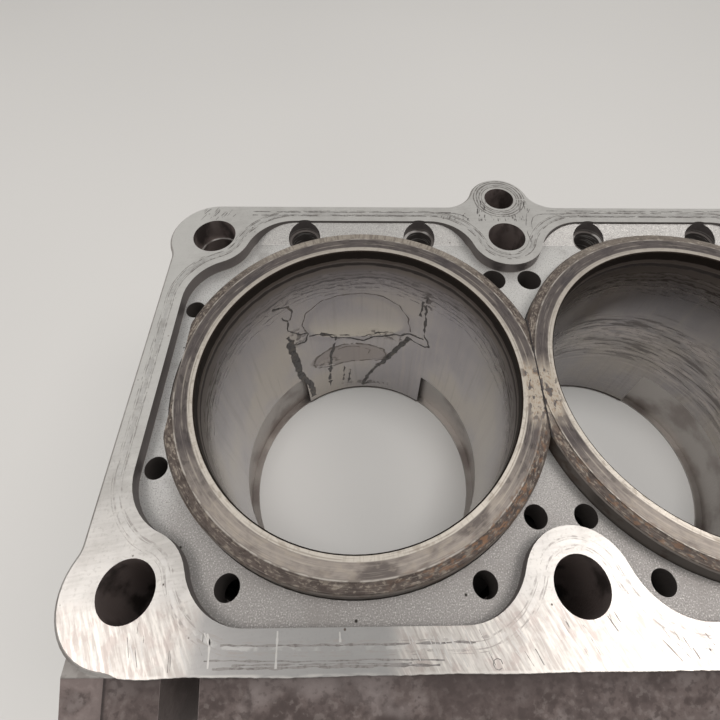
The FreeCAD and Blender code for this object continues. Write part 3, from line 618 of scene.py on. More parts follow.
def lay_flange(iron, radius, around, top, rust_at, rust_strength, pale):
    """Lay the rings of a liner's top, from the bore outwards."""
    worn = iron.grain(1.5, shift=5, detail=7, place=around(1.7))
    fine = iron.grain(0.5, shift=11, detail=4, place=around(2))
    sweep = iron.grain(6, shift=31, detail=4, place=around(2))
    turned = iron.grain(0.22, detail=2, place=around(30))
    hatch = iron.grain(0.55, detail=2, shift=2, place=around(1, 9))
    iron.lay(top, (0.20, 0.175, 0.155), 0.5, 0.75)

    cut_ring = top * radius.rise(CUT_EDGE + 0.3, CUT_EDGE - 0.3)
    iron.lay(cut_ring, (0.54, 0.50, 0.445), 0.40)
    iron.lay(cut_ring * worn.rise(0.53, 0.64) * 0.7, (0.36, 0.32, 0.27), 0.5)
    iron.lay(cut_ring * hatch.rise(0.54, 0.66) * 0.4, (0.36, 0.32, 0.27))
    iron.lay(top * radius.band(47.6, 47.9, 0.12) * sweep.rise(0.40, 0.54) * 0.6, (0.24, 0.205, 0.175))
    iron.lay(cut_ring * iron.y.rise(0, 30) * 0.55, (0.36, 0.325, 0.285))

    soot = top * radius.band(CUT_EDGE, SOOT_EDGE, 0.25)
    front = iron.y.rise(-18, -42)
    iron.lay(soot, (0.100, 0.086, 0.083), 0.50)
    iron.lay(soot * sweep.rise(0.50, 0.64) * 0.5, (0.17, 0.148, 0.135))
    iron.lay(soot * front * 0.85, (0.32, 0.285, 0.255))
    iron.lay(soot * sweep.rise(0.46, 0.34) * 0.8, (0.066, 0.058, 0.060))
    iron.lay(soot * front * worn.rise(0.50, 0.62) * 0.6, (0.34, 0.30, 0.255))
    iron.lay(soot * (front * 0.8).inverse() * worn.rise(0.46, 0.36) * 0.7, (0.060, 0.052, 0.050))
    iron.lay(soot * front * sweep.rise(0.50, 0.38) * 0.5, (0.145, 0.122, 0.110))
    iron.lay(top * radius.band(49.6, 49.9, 0.2) * sweep.rise(0.42, 0.58) * 0.6, (0.40, 0.36, 0.31), 0.4)

    rim = top * radius.rise(RIM_EDGE - 0.1, RIM_EDGE + 0.1)
    iron.lay(rim, (0.105, 0.084, 0.073), 0.6, 0.6)
    iron.lay(rim * worn.rise(0.50, 0.60) * 0.9, (0.060, 0.047, 0.042), 0.7)
    iron.lay(rim * worn.rise(0.44, 0.34) * 0.8, (0.26, 0.225, 0.185), 0.5)
    iron.lay(rim * fine.rise(0.52, 0.64) * 0.7, (0.075, 0.060, 0.053), 0.7)
    iron.lay(rim * fine.rise(0.45, 0.35) * 0.5, (0.38, 0.335, 0.275), 0.45)
    iron.lay(rim * front * 0.35, (0.060, 0.047, 0.042), 0.6)
    iron.lay(rim * iron.y.rise(34, 48) * pale, (0.34, 0.305, 0.26), 0.45)
    iron.lay(rim * hatch.rise(0.48, 0.60) * iron.y.rise(10, 46) * 0.75, (0.16, 0.135, 0.115), 0.5)
    # Painted highlight: a thin pale band at the rim's edge, where that edge would glint.
    painted_glint = top * radius.band(RIM_EDGE - 0.35, RIM_EDGE, 0.15)
    iron.lay(painted_glint * worn.rise(0.60, 0.42) * 0.65, (0.50, 0.47, 0.43), 0.38)
    iron.lay(top * turned.rise(0.54, 0.68) * 0.3, (0.14, 0.122, 0.112))
    iron.lay(top * turned.rise(0.44, 0.32) * 0.2, (0.46, 0.42, 0.37))

    by_slit = top * abs(iron.x).rise(6.0, 3.6) * (iron.y + sweep * 10).band(-9, 9, 3)
    iron.lay(by_slit * 0.9, (0.44, 0.39, 0.325), 0.45)
    iron.lay(by_slit * worn.rise(0.51, 0.58) * 0.9, (0.085, 0.075, 0.078), 0.5)
    iron.lay(by_slit * fine.rise(0.52, 0.64) * 0.6, (0.27, 0.19, 0.13), 0.6)
    near = iron.distance(*rust_at).rise(40, 8)
    rusty = iron.grain(0.9, shift=12, detail=6, place=around(2))
    rust = near * rusty.rise(0.50, 0.62) * radius.rise(50.6, 52.6)
    iron.lay(rust * top * rust_strength, (0.185, 0.100, 0.056), 0.8, 0.15)
    iron.press(top * worn * 0.06 + top * turned * 0.02)


print("the beige ring ends at", CUT_EDGE, "mm, the sooty one at", SOOT_EDGE, "mm from the axis")

# %% [markdown]
# ## The wall of a bore
# The bore starts with a ring of black carbon above where the piston turned back, then lines of
# brown lacquer, then honed grey iron with upright streaks. The wall is polished, so it also
# mirrors the room: a low roughness does more for it than any colour. The lacquer's lines lie
# level but wander up and down a little, so each is a band of a height to which noise is added.

# %% The honed wall, the lacquer and the carbon
WALL_COLOURS = ((0.45, 0.425, 0.425), (0.55, 0.50, 0.43), (0.36, 0.342, 0.365), (0.31, 0.285, 0.27))
# Where a dark line starts, how thick it is, and from what value of the noise it shows.
DARK_LINES = (
    (90.5, 0.25, 0.50), (92.6, 0.35, 0.54), (94.6, 0.5, 0.46), (96.4, 0.3, 0.52),
    (98.0, 0.9, 0.42), (100.4, 0.5, 0.50), (102.2, 0.35, 0.46),
)
# Where a bright line starts, and from what value of the noise it is hidden.
BRIGHT_LINES = ((93.6, 0.50), (97.2, 0.46), (101.4, 0.52))


def lay_bore(iron, radius, height, shade):
    """Lay the honed wall, the lacquer below its rim, the carbon above the last ring and painted shade at
    its foot.
    """
    wall = radius.rise(47.6, 47.2) * height.rise(LINER_TOP - 0.02, LINER_TOP - 0.10)
    streaks = iron.grain(1.3, stretch=(1, 1, 30), shift=2, detail=4)
    clouds = iron.grain(24, stretch=(1, 1, 1.6), shift=7, detail=3)
    hone = iron.grain(0.30, stretch=(1, 1, 9), detail=2)
    grey, warm, cool, dull = [tuple(c * shade for c in colour) for colour in WALL_COLOURS]
    iron.lay(wall, grey, 0.21, 1.0)
    iron.lay(wall * clouds.rise(0.46, 0.66) * 0.6, warm, 0.21)
    iron.lay(wall * clouds.rise(0.50, 0.32) * 0.6, cool, 0.26)
    iron.lay(wall * streaks.rise(0.54, 0.70) * 0.3, dull)
    iron.lay(wall * streaks.rise(0.45, 0.33) * 0.2, warm)
    iron.lay(wall * hone.rise(0.55, 0.70) * 0.25, warm)
    iron.press(wall * hone * 0.004)

    smear = iron.grain(4.5, stretch=(1, 1, 0.22), shift=14, detail=7)
    drift = iron.grain(20, shift=4, detail=2)
    level = height + smear * 5 + drift * 7
    iron.lay(wall * level.rise(90, 106) * 0.8, (0.19, 0.160, 0.140), 0.40)
    for start, thick, shows in DARK_LINES:
        line = level.band(start, start + thick, 0.35) * smear.rise(shows - 0.10, shows)
        iron.lay(wall * line * 0.85, (0.075, 0.060, 0.053), 0.5)
    for start, hides in BRIGHT_LINES:
        line = level.band(start, start + 0.4, 0.3) * smear.rise(hides + 0.08, hides - 0.04)
        iron.lay(wall * line * 0.7, (0.40, 0.365, 0.345), 0.3)
    edge = height + smear * 1.6
    iron.lay(wall * edge.band(100.7, 102.4, 0.4), (0.045, 0.036, 0.033), 0.55, 0.3)
    iron.lay(wall * edge.band(102.9, 104.2, 0.3), (0.15, 0.122, 0.105), 0.5, 0.6)
    iron.lay(wall * edge.rise(103.9, 104.6), (0.024, 0.017, 0.013), 0.6, 0.8)
    # Painted shade: a dark band along the foot of the wall.
    iron.lay(wall * height.rise(2.6, 1.6), (0.10, 0.085, 0.075), 0.6)


print(len(DARK_LINES), "dark and", len(BRIGHT_LINES), "bright lines of lacquer on each wall")

# %% [markdown]
# ## Marks on the far walls
# The first bore's far wall has a clean patch, a soaked patch under it and a few smudges, all
# of them ovals with soft or drawn edges. The second bore's lower wall has streaks swept round
# it. Both are coats with noise in their masks, because their borders are too soft for a mesh.

# %% Soft marks in the bores
# Each smudge: how far right of the axis, how high, half its width and half its height.
SMUDGES = (
    (-26, 63.5, 3.6, 7), (9.7, 54, 12, 3.6), (24.4, 86, 2.2, 8), (-15.5, 33.5, 6, 4), (1, 7.5, 13, 2.2),
)


def lay_old_water_and_shade(iron, far_wall, centre):
    """Lay a painted cool shade, the clean and soaked patches and the smudges of the first bore."""
    # Painted shade: a cool, darker band high on the far wall.
    iron.lay(far_wall * iron.z.rise(58, 88) * iron.z.rise(99, 96) * 0.4, (0.285, 0.272, 0.298), 0.24)
    clean = iron.oval(centre - 2.2, 66, 20.4, 15.7)
    iron.lay(far_wall * clean.band(0.93, 1.12, 0.08) * 0.4, (0.34, 0.32, 0.335), 0.30)
    iron.lay(far_wall * clean.rise(0.98, 0.90) * iron.z.rise(72, 54) * 0.8, (0.64, 0.59, 0.51), 0.22)
    soaked = iron.oval(centre - 6, 36.7, 17.0, 7.8)
    iron.lay(far_wall * soaked.rise(1.02, 0.80) * 0.6, (0.31, 0.265, 0.245), 0.34)
    iron.lay(far_wall * soaked.band(0.90, 1.02, 0.04) * 0.5, (0.24, 0.205, 0.19), 0.4)
    crumbs = iron.grain(2.2, shift=61, detail=8)
    for across, height, wide, high in SMUDGES:
        smudge = far_wall * iron.oval(centre + across, height, wide, high).rise(1.15, 0.55)
        iron.lay(smudge * crumbs.rise(0.50, 0.57) * 0.65, (0.14, 0.122, 0.115), 0.5)
        iron.lay(smudge * crumbs.rise(0.46, 0.39) * 0.5, (0.48, 0.44, 0.40), 0.3)


def lay_swept_streaks(iron, wall):
    """Lay the streaks that sweep round the lower wall of the second bore."""
    swept = iron.grain(15, stretch=(1, 1, 0.13), shift=41, detail=6)
    slant = iron.grain(5, stretch=(1, 1, 0.22), shift=43, detail=5)
    zone = wall * (iron.z + swept * 12).band(40, 74, 6)
    iron.lay(zone * swept.rise(0.50, 0.60) * 0.8, (0.46, 0.42, 0.40), 0.26)
    iron.lay(zone * swept.rise(0.46, 0.38) * 0.8, (0.15, 0.135, 0.13), 0.35)
    iron.lay(zone * slant.rise(0.52, 0.62) * 0.5, (0.20, 0.18, 0.175), 0.35)
    iron.lay(wall * iron.z.band(4, 34, 6) * slant.rise(0.50, 0.62) * 0.4, (0.40, 0.37, 0.355), 0.26)


print(len(SMUDGES), "smudges on the first bore's far wall")

# %% [markdown]
# ## Both liners
# The two liners are the same piece, but they aged apart: the first has more rust and a paler
# rim behind, the second a darker wall. So one function dresses both, and what differs is
# handed to it. Below the flange the outside is plain dark iron.

# %% Dress both liners
def dress_liner(number, centre, rust_at, rust_strength, pale, shade):
    """Make and give one liner its finish."""
    iron = Finish("liner_iron_%d" % number, (0.17, 0.15, 0.135), 0.6, 0.7)
    iron.lay(iron.grain(6, detail=5).rise(0.48, 0.64), (0.10, 0.075, 0.06), 0.75, 0.4)
    radius = iron.distance(centre, 0)
    pull = radius.sum_node("POWER", -1.0) * BORE

    def around(along, across=1):
        """A place on the ring, where grain is drawn out along the circle or across it."""
        east = (iron.x - centre) * pull * (1 / along)
        north = iron.y * pull * (1 / along)
        return iron.vector(east, north, radius * (1 / across))

    top = iron.z.rise(LINER_TOP - 0.6, LINER_TOP - 0.4) * iron.facing[2].rise(0.5, 0.8)
    lay_flange(iron, radius, around, top, rust_at, rust_strength, pale)
    lay_bore(iron, radius, iron.z, shade)
    wall = radius.rise(47.6, 47.2)
    if number == 1:
        lay_old_water_and_shade(iron, wall * iron.y.rise(5, 15), centre)
    else:
        lay_swept_streaks(iron, wall)
    dress("cylinder_liner_%d" % number, iron.finished())


dress_liner(1, -PITCH / 2, (-16, -38), 0.75, 0.75, 1.0)
dress_liner(2, PITCH / 2, (14, -42), 0.5, 0.25, 0.70)

# %% [markdown]
# ## Small parts: seals, core plugs, drain plug and washer
# The seals are dull black rubber with a faint bloom. The plugs are pressed or turned steel
# that has begun to darken, and the washer is soft copper with a brown bloom. One even colour
# would make them look like toys, so each gets a coat or two of cloudy age. The plugs share
# one steel and the seals one rubber, as parts from one box do.

# %% Dress the small parts
rubber = Finish("seal_rubber", (0.022, 0.022, 0.023), 0.55, 0)
rubber.lay(rubber.grain(3, detail=4).rise(0.5, 0.7), (0.045, 0.044, 0.042), 0.75)
rubber.press(rubber.grain(0.4) * 0.02)
rubber_skin = rubber.finished()

steel = Finish("plug_steel", (0.40, 0.385, 0.36), 0.38, 1)
steel.lay(steel.grain(4, detail=6).rise(0.48, 0.66), (0.22, 0.19, 0.16), 0.55)
steel.lay(steel.grain(1.6, shift=3, detail=5).rise(0.62, 0.70), (0.16, 0.075, 0.035), 0.85, 0.2)
steel.press(steel.grain(0.8) * 0.03)
steel_skin = steel.finished()

copper = Finish("washer_copper", (0.62, 0.33, 0.20), 0.34, 1)
copper.lay(copper.grain(2.5, detail=5).rise(0.46, 0.62), (0.28, 0.14, 0.085), 0.5)
copper_skin = copper.finished()

for name in nodes:
    if name.startswith("seal_ring"):
        dress(name, rubber_skin)
    if name.startswith("core_plug") or name == "drain_plug":
        dress(name, steel_skin)
dress("drain_plug_washer", copper_skin)

# %% [markdown]
# ## Marks as thin ribbons
# A crack, a scratch or the print of a gasket is a line a fraction of a millimetre wide. A
# texture would blur it, so each is a ribbon of mesh that lies a hair above the metal. One
# function walks along a path in short steps, lets the line wander, and changes its width as
# it goes. Where the width falls to nothing the line breaks, as worn marks do.

# %% A ribbon along a path
def steps_along(path, step):
    """Points about step apart along a path of corners, with the direction at each."""
    found = []
    for (x0, y0), (x1, y1) in zip(path, path[1:]):
        length = math.hypot(x1 - x0, y1 - y0)
        if length < 0.001:
            continue
        count = max(1, round(length / step))
        for i in range(count):
            t = i / count
            found.append((x0 + (x1 - x0) * t, y0 + (y1 - y0) * t, (x1 - x0) / length, (y1 - y0) / length))
    found.append((*path[-1], *found[-1][2:]))
    return found


def ribbon(path, width, step=0.6, wander=0.15, worn=0.5, seed=0):
    """Quads of a ribbon, flat, as lists of corners. worn is how much its width changes."""
    rail = []
    along = 0
    for x0, y0, dx, dy in steps_along(path, step):
        drift = wander * noise.noise((along * 0.35, seed * 7.3, 1.7))
        slow = noise.noise((along * 0.35, seed * 3.1, 9.2))
        quick = noise.noise((along * 1.3, seed, 4.4))
        half = width / 2 * (1 + worn * (2 * slow + quick))
        rail.append((x0 - dy * drift, y0 + dx * drift, -dy * half, dx * half, half))
        along += step
    quads = []
    for (xa, ya, ua, va, ha), (xb, yb, ub, vb, hb) in zip(rail, rail[1:]):
        if min(ha, hb) > width * 0.08:
            quads.append(((xa - ua, ya - va), (xb - ub, yb - vb), (xb + ub, yb + vb), (xa + ua, ya + va)))
    return quads


def marks(name, quads, lift_to, material):
    """One piece made of many ribbons. lift_to turns a flat point into a place on the block."""
    mesh = bpy.data.meshes.new(name)
    corners = [lift_to(*corner) for quad in quads for corner in quad]
    faces = [tuple(range(i, i + 4)) for i in range(0, len(corners), 4)]
    mesh.from_pydata([Vector(corner) * MM for corner in corners], [], faces)
    piece = bpy.data.objects.new(name, mesh)
    bpy.context.scene.collection.objects.link(piece)
    mesh.materials.append(material)
    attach(piece, "root")
    print(name, "has", len(faces), "faces")
    return piece


print("a line of 10 mm takes", len(ribbon([(0, 0), (10, 0)], 0.3)), "faces")

# %% [markdown]
# ## The print of the head gasket
# Years of clamping pressed the gasket's beads into the deck. They show as two thin lines that
# keep the same distance from the trough, so their path is the trough's own outline moved
# outwards. That outline is made of arcs: round each bolt boss one way, and round each hollow
# corner the other way. Moving it outwards shrinks the first arcs and grows the second.
# Drawing the lines by eye would need many more points, and they would still wobble.

# %% The trough's outline, moved outwards
def arc(centre, radius, start, end):
    """Points on an arc, the shorter way round from one angle to another, in radians."""
    sweep = (end - start + math.pi) % (2 * math.pi) - math.pi
    count = max(2, int(abs(sweep) * radius / 0.7))
    return [(centre[0] + radius * math.cos(start + sweep * i / count),
             centre[1] + radius * math.sin(start + sweep * i / count)) for i in range(count + 1)]


def towards(a, b):
    return math.atan2(b[1] - a[1], b[0] - a[0])


def trough_quarter(bolt_row, wall, offset, side):
    """A quarter of the outline, from the middle boss to the end wall. side is 1 or -1."""
    inward = 1 if wall < 0 else -1
    hollow_y = wall + inward * BLEND
    reach = math.sqrt((BOSS + BLEND) ** 2 - (hollow_y - bolt_row) ** 2)
    end_x = TROUGH_END - BLEND
    drop = math.sqrt((BOSS + BLEND) ** 2 - (BOLT_X - end_x) ** 2)
    middle, corner = (0, bolt_row), (BOLT_X, bolt_row)
    first, second = (reach, hollow_y), (BOLT_X - reach, hollow_y)
    third = (end_x, bolt_row + inward * drop)
    outward = -inward * math.pi / 2
    path = arc(middle, BOSS - offset, -outward, towards(middle, first))
    path += arc(first, BLEND + offset, towards(first, middle), outward)
    path += arc(second, BLEND + offset, outward, towards(second, corner))
    path += arc(corner, BOSS - offset, towards(corner, second), towards(corner, third))
    path += arc(third, BLEND + offset, towards(third, corner), 0)
    path.append((TROUGH_END + offset, 0))
    return [(side * px, py) for px, py in path]


outline = trough_quarter(FRONT_BOLTS, TROUGH_FRONT, 0, 1)
print("a quarter of the trough's outline has", len(outline), "points")

# %% [markdown]
# ## The metal of a printed line
# A pressed line is the same milled metal, only darker where grime stayed in it, and paler
# between the two beads, where the gasket rubbed. So both finishes start from the deck's own
# recipe, and the line seems to be in the metal and not on it.

# %% Printed and rubbed metal
dark_print = Finish("gasket_print", (0.40, 0.385, 0.368), 0.40, 1.0)
lay_milled(dark_print, dark_print.z.rise(104, 105))
dark_print.lay(dark_print.grain(1.5, detail=4).rise(0.36, 0.62) * 0.85, (0.32, 0.302, 0.29), 0.40)
behind = dark_print.y.rise(30, 45) * dark_print.grain(1.2, shift=9, detail=4).rise(0.34, 0.52)
dark_print.lay(behind * 0.9, (0.215, 0.20, 0.19), 0.42)
dark_skin = dark_print.finished()
pale_print = Finish("gasket_print_rubbed", (0.50, 0.49, 0.48), 0.32, 1.0)
lay_milled(pale_print, pale_print.z.rise(104, 105))
pale_print.lay(pale_print.grain(2.5, shift=4, detail=5).rise(0.42, 0.62) * 0.4, (0.60, 0.595, 0.585), 0.32)
pale_skin = pale_print.finished()
print("metals for the print:", dark_skin.name, "and", pale_skin.name)

# %% [markdown]
# ## Laying the print
# Each bead left two thin lines, and four quarters make each line's way round the trough. The
# ear had a small ring of its own in the gasket, so circles surround its hole.

# %% The gasket's lines
# Each line: how far outside the trough it runs, and its width.
BEADS = ((2.5, 0.26), (3.0, 0.14), (4.4, 0.26), (5.0, 0.14))
# Each circle round the ear: its radius and its width.
EAR_LINES = ((6.7, 0.35), (7.5, 0.3), (8.6, 0.4), (9.6, 0.3))
ROWS = ((FRONT_BOLTS, TROUGH_FRONT), (REAR_BOLTS, TROUGH_REAR))


def ear_circle(radius):
    """A circle round the ear's hole, in two arcs."""
    return arc(EAR, radius, 0, 3.1) + arc(EAR, radius, 3.2, 6.2)


def on_deck(level):
    """Puts a flat drawing on the deck, level above it."""
    return lambda px, py: (px, py, DECK + level)


dark_lines, pale_lines = [], []
for number, (offset, width) in enumerate(BEADS):
    for row, wall in ROWS:
        for side in (-1, 1):
            path = trough_quarter(row, wall, offset, side)
            dark_lines += ribbon(path, width, worn=1.1, seed=number * 5 + side + row)
for row, wall in ROWS:
    for side in (-1, 1):
        pale_lines += ribbon(trough_quarter(row, wall, 3.6, side), 0.9, worn=0.5, seed=side + row)
for radius, width in EAR_LINES:
    dark_lines += ribbon(ear_circle(radius), width, worn=0.5, seed=radius)
pale_lines += ribbon(ear_circle(8.0), 0.8, worn=0.4, seed=3)
marks("gasket_lines", dark_lines, on_deck(0.02), dark_skin)
marks("gasket_rubs", pale_lines, on_deck(0.012), pale_skin)

# %% [markdown]
# ## Short strokes
# The deck was scraped clean, and the scraper left short scratches of about the same direction.
# They are scattered by chance over a patch, because scratches set by hand soon look set. The
# chance starts from a seed, so the same scratches come back each time. The ones that would
# hang over a hole or the deck's edge are taken out again.

# %% Strokes over a patch
def strokes(centre, spread, length, angle, count, width, seed):
    """Short scratches of about the same direction, scattered over a patch."""
    chance = random.Random(seed)
    quads = []
    for number in range(count):
        px = centre[0] + chance.uniform(-spread[0], spread[0])
        py = centre[1] + chance.uniform(-spread[1], spread[1])
        way = math.radians(angle + chance.gauss(0, 5))
        half = length * chance.uniform(0.3, 1.0) / 2
        start = (px - math.cos(way) * half, py - math.sin(way) * half)
        end = (px + math.cos(way) * half, py + math.sin(way) * half)
        quads += ribbon([start, end], width * chance.uniform(0.5, 1.4), 0.4, 0.1, 0.7, seed + number)
    return quads


RAIL_FRONT = -67.6
RAIL_REAR = -61.2
HOLE_EDGE = 7.2
CORNER_EDGE = 13.5


def bare_deck(quads):
    """Keep only what lies on the deck's front rail and corners, clear of its holes."""
    kept = []
    for quad in quads:
        px, py = quad[0]
        holes = min(math.hypot(px - bx, py - FRONT_BOLTS) for bx in (-BOLT_X, 0, BOLT_X))
        corner = math.hypot(abs(px) - BOLT_X, py - FRONT_BOLTS)
        if abs(px) > BOLT_X and corner > CORNER_EDGE:
            continue
        if RAIL_FRONT < py < RAIL_REAR and holes > HOLE_EDGE:
            kept.append(quad)
        elif HOLE_EDGE < holes < BOSS - 0.6 and py > RAIL_REAR:
            kept.append(quad)
    return kept


def scattered(patches):
    """The strokes of several patches."""
    return [quad for patch in patches for quad in strokes(*patch)]


def drawn(lines):
    """The ribbons of several lines."""
    return [quad for line in lines for quad in ribbon(*line)]


print("scratches keep", HOLE_EDGE, "mm away from the middle of a bolt hole")

# %% [markdown]
# ## Bright scratches
# Fresh scratches are brighter than the deck, since they show metal without any film. Most are
# short and slanted. Three long ones cross the front rail upright, and are drawn one by one.

# %% Bright scratches
# Each patch: its middle, half its size, the longest stroke, direction, count, width, seed.
BRIGHT_PATCHES = (
    ((-98, -65), (14, 3.5), 5, -62, 14, 0.22, 11),
    ((-32, -64.5), (9, 3), 5, -66, 14, 0.20, 12),
    ((6, -62), (24, 6), 8, -62, 40, 0.18, 13),
    ((80, -65), (30, 3.5), 6, -62, 20, 0.18, 14),
)
# Each line: its path, width, step, how far it wanders, how uneven it is, seed.
LONG_SCRATCHES = (
    (((-83.4, -62.2), (-82.9, -67.4)), 0.5, 0.5, 0.15, 0.4, 3),
    (((-69.0, -61.0), (-68.7, -67.6)), 0.5, 0.5, 0.15, 0.4, 3),
    (((-55.5, -61.3), (-55.3, -63.2)), 0.5, 0.5, 0.15, 0.4, 3),
)
bright = bare_deck(scattered(BRIGHT_PATCHES)) + drawn(LONG_SCRATCHES)
shine = Finish("bare_scratch", (0.51, 0.50, 0.49), 0.36, 1.0)
shine.lay(shine.grain(1.2, detail=2).rise(0.48, 0.62), (0.49, 0.48, 0.465))
marks("bright_scratches", bright, on_deck(0.030), shine.finished())

# %% [markdown]
# ## Dark scratches and dried oil
# Old scratches hold dirt. Short dark strokes lie in the corners, on the neck of the ear and
# along the front. Oil that stood against the gasket dried into long lines, and they break up
# where the metal was wiped. Near the ear the lines bend round the neck as the gasket did.

# %% Dark scratches and dried oil
FRONT_PATCHES = (
    ((2, -62), (26, 6), 6, -62, 26, 0.14, 21),
    ((-96, -58), (12, 9), 4, -75, 22, 0.12, 22),
)
EAR_PATCHES = (
    ((-7.5, 70), (2.5, 3), 3.0, 84, 22, 0.2, 23),
    ((8.2, 70), (2.2, 3), 2.6, 80, 20, 0.2, 24),
    ((0, 64.2), (9, 1.2), 1.6, 86, 40, 0.2, 26),
    ((-18, 64.5), (5, 1.5), 1.2, 60, 24, 0.25, 27),
    ((-104, 65.5), (6, 2.5), 4.0, 62, 20, 0.14, 25),
)
OIL_LINES = (
    (((-81, -63.5), (-60, -63.7), (-26, -63.5)), 0.35, 0.5, 0.2, 0.6, 31),
    (((-84, -66.0), (-64, -66.4), (-44, -66.3), (-33, -66.5)), 0.26, 0.5, 0.2, 0.7, 32),
    (((-82, -67.5), (-71, -67.5), (-63, -67.35), (-42, -67.3), (-34, -67.4)), 0.42, 0.35, 0.2, 0.45, 33),
    (((-78, -66.95), (-58, -66.9), (-40, -66.95)), 0.22, 0.35, 0.2, 0.9, 39),
    (((-92, 65.1), (-19, 64.9)), 0.25, 0.5, 0.1, 1.3, 34),
    (((-92, 66.9), (-19, 66.7)), 0.25, 0.5, 0.1, 1.0, 35),
    (((19, 64.9), (92, 65.1)), 0.25, 0.5, 0.1, 1.3, 36),
    (((17, 67.9), (92, 67.9)), 0.25, 0.5, 0.1, 1.0, 37),
)
LEFT_NECK = ((-24, 66.5), (-17.7, 66.4), (-15.5, 65.7), (-13.6, 64.2), (-12.6, 62.4))
RIGHT_NECK = ((26, 66.5), (15, 66.2), (12.6, 65.6), (11.2, 64.4), (10.2, 62.0), (9.8, 58.0))
INNER_NECK = ((9.4, 66.8), (8.6, 64.0), (7.9, 60.6), (7.8, 56.5), (8.4, 52.2), (7.2, 49.6))
NECK_LINES = (
    (LEFT_NECK, 0.22, 0.4, 0.1, 0.8, 41),
    (RIGHT_NECK, 0.26, 0.4, 0.1, 0.7, 42),
    (INNER_NECK, 0.22, 0.4, 0.1, 0.8, 43),
)
DROP = (-21.7, -67.4)
dark = bare_deck(scattered(FRONT_PATCHES)) + scattered(EAR_PATCHES)
dark += drawn(OIL_LINES) + drawn(NECK_LINES)
dark += ribbon(arc(DROP, 1.0, 0, 3.1) + arc(DROP, 1.0, 3.2, 5.6), 0.2, 0.3, 0.05, 0.4, 38)
stain = Finish("dried_oil", (0.25, 0.238, 0.232), 0.45, 0.9)
stain.lay(stain.grain(0.8, detail=3).rise(0.44, 0.66), (0.17, 0.158, 0.152))
marks("dark_stains", dark, on_deck(0.025), stain.finished())

# %% [markdown]
# ## The burr along the front edge
# The cutter that faced the deck pushed a thin lip of metal over the front edge, and the lip
# broke off unevenly. It is a narrow strip that starts where the bevel does, carries the deck
# on for about a millimetre and a half, and ends in a wavy rim a few tenths thick. Bumps can't
# make it, because its outline shows against the dark shoulder, so it is a mesh.

# %% The burr
BURR_END = 106
BURR_STEP = 0.5
BEVEL_START = -67.5
LIP_FOOT = -68.3


def burr_edge(px):
    """How far forward the lip reaches at this place along the front."""
    slow = noise.noise((px * 0.085, 3.1, 0.4))
    quick = noise.noise((px * 0.9, 7.7, 2.2))
    near_end = min(1, (BURR_END - abs(px)) / 5)
    uneven = min(1, max(0.25, (-45 - px) / 40))
    return BEVEL_START - near_end * (1.5 + 0.55 * uneven * slow + 0.10 * quick)


def strip(rows):
    """Quads between rows of points, as faces that share their corners."""
    wide = len(rows[0])
    points = [point for row in rows for point in row]
    faces = []
    for i in range(len(rows) - 1):
        for j in range(wide - 1):
            corner = i * wide + j
            faces.append((corner, corner + 1, corner + wide + 1, corner + wide))
    return points, faces


columns = [-BURR_END + BURR_STEP * i for i in range(int(2 * BURR_END / BURR_STEP) + 1)]
burr_rows = [
    [(px, BEVEL_START + 0.15, DECK + 0.004) for px in columns],
    [(px, burr_edge(px) + 0.10, DECK + 0.002) for px in columns],
    [(px, burr_edge(px), DECK - 0.10) for px in columns],
    [(px, burr_edge(px) + 0.04, DECK - 0.45) for px in columns],
    [(px, max(LIP_FOOT, burr_edge(px) + 0.1), DECK - 0.85) for px in columns],
]
burr_points, burr_faces = strip(burr_rows)
outward_faces = [tuple(reversed(face)) for face in burr_faces]
burr_mesh = bpy.data.meshes.new("front_burr")
burr_mesh.from_pydata([Vector(point) * MM for point in burr_points], [], outward_faces)
burr = bpy.data.objects.new("front_burr", burr_mesh)
bpy.context.scene.collection.objects.link(burr)
burr_metal = Finish("burr_metal", (0.47, 0.455, 0.435), 0.34, 1.0)
lay_milled(burr_metal, burr_metal.z.rise(DECK - 1.1, DECK - 1.0))
lip_grain = burr_metal.grain(2, stretch=(5, 1, 1), detail=4)
lip = burr_metal.y.rise(LIP_FOOT, LIP_FOOT - 0.5) * lip_grain.rise(0.42, 0.56)
burr_metal.lay(lip * 0.6, (0.62, 0.60, 0.57), 0.3)
burr_mesh.materials.append(burr_metal.finished())
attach(burr, "root")
print("the burr has", len(burr_mesh.polygons), "faces")

# %% [markdown]
# ## Painted shade and grime in the slit between the liners
# The two flanges meet at their flats with a slit of a few tenths between them. Oil and dust
# have filled it, and its shade is painted in too, as the darkest line on the whole deck.

# %% Painted shade and grime in the slit
# Painted shade and grime: one dark line laid over the slit.
shade_and_grime = Finish("slit_shade_and_grime", (0.018, 0.015, 0.015), 0.75, 0)
shade_and_grime.lay(shade_and_grime.grain(0.8, detail=3).rise(0.52, 0.66), (0.045, 0.036, 0.032))
slit = ribbon([(0, 19.0), (0.02, 6), (-0.03, -6), (0, -19.0)], 0.42, 0.5, 0.04, 0.25, 51)
marks("slit_line", slit, lambda px, py: (px, py, LINER_TOP + 0.012), shade_and_grime.finished())

# %% [markdown]
# ## Drawing on the wall of a bore
# The far wall of the first bore is damaged. On a cylinder a path is easiest to give as an
# angle round the axis and a depth below the deck, so the ribbons are drawn flat, in
# millimetres along the wall, and then rolled up to a hair less than the bore's radius.

# %% From flat to round
# The depths were drawn for a slightly shorter wall, and are stretched to this one.
DEPTH_SCALE = 1.011


def on_wall(centre, lift):
    """Rolls a flat drawing up: sideways becomes an angle, upwards stays the height."""
    def rolled(px, py):
        angle = px / BORE
        return (centre + (BORE - lift) * math.cos(angle), (BORE - lift) * math.sin(angle), py)
    return rolled


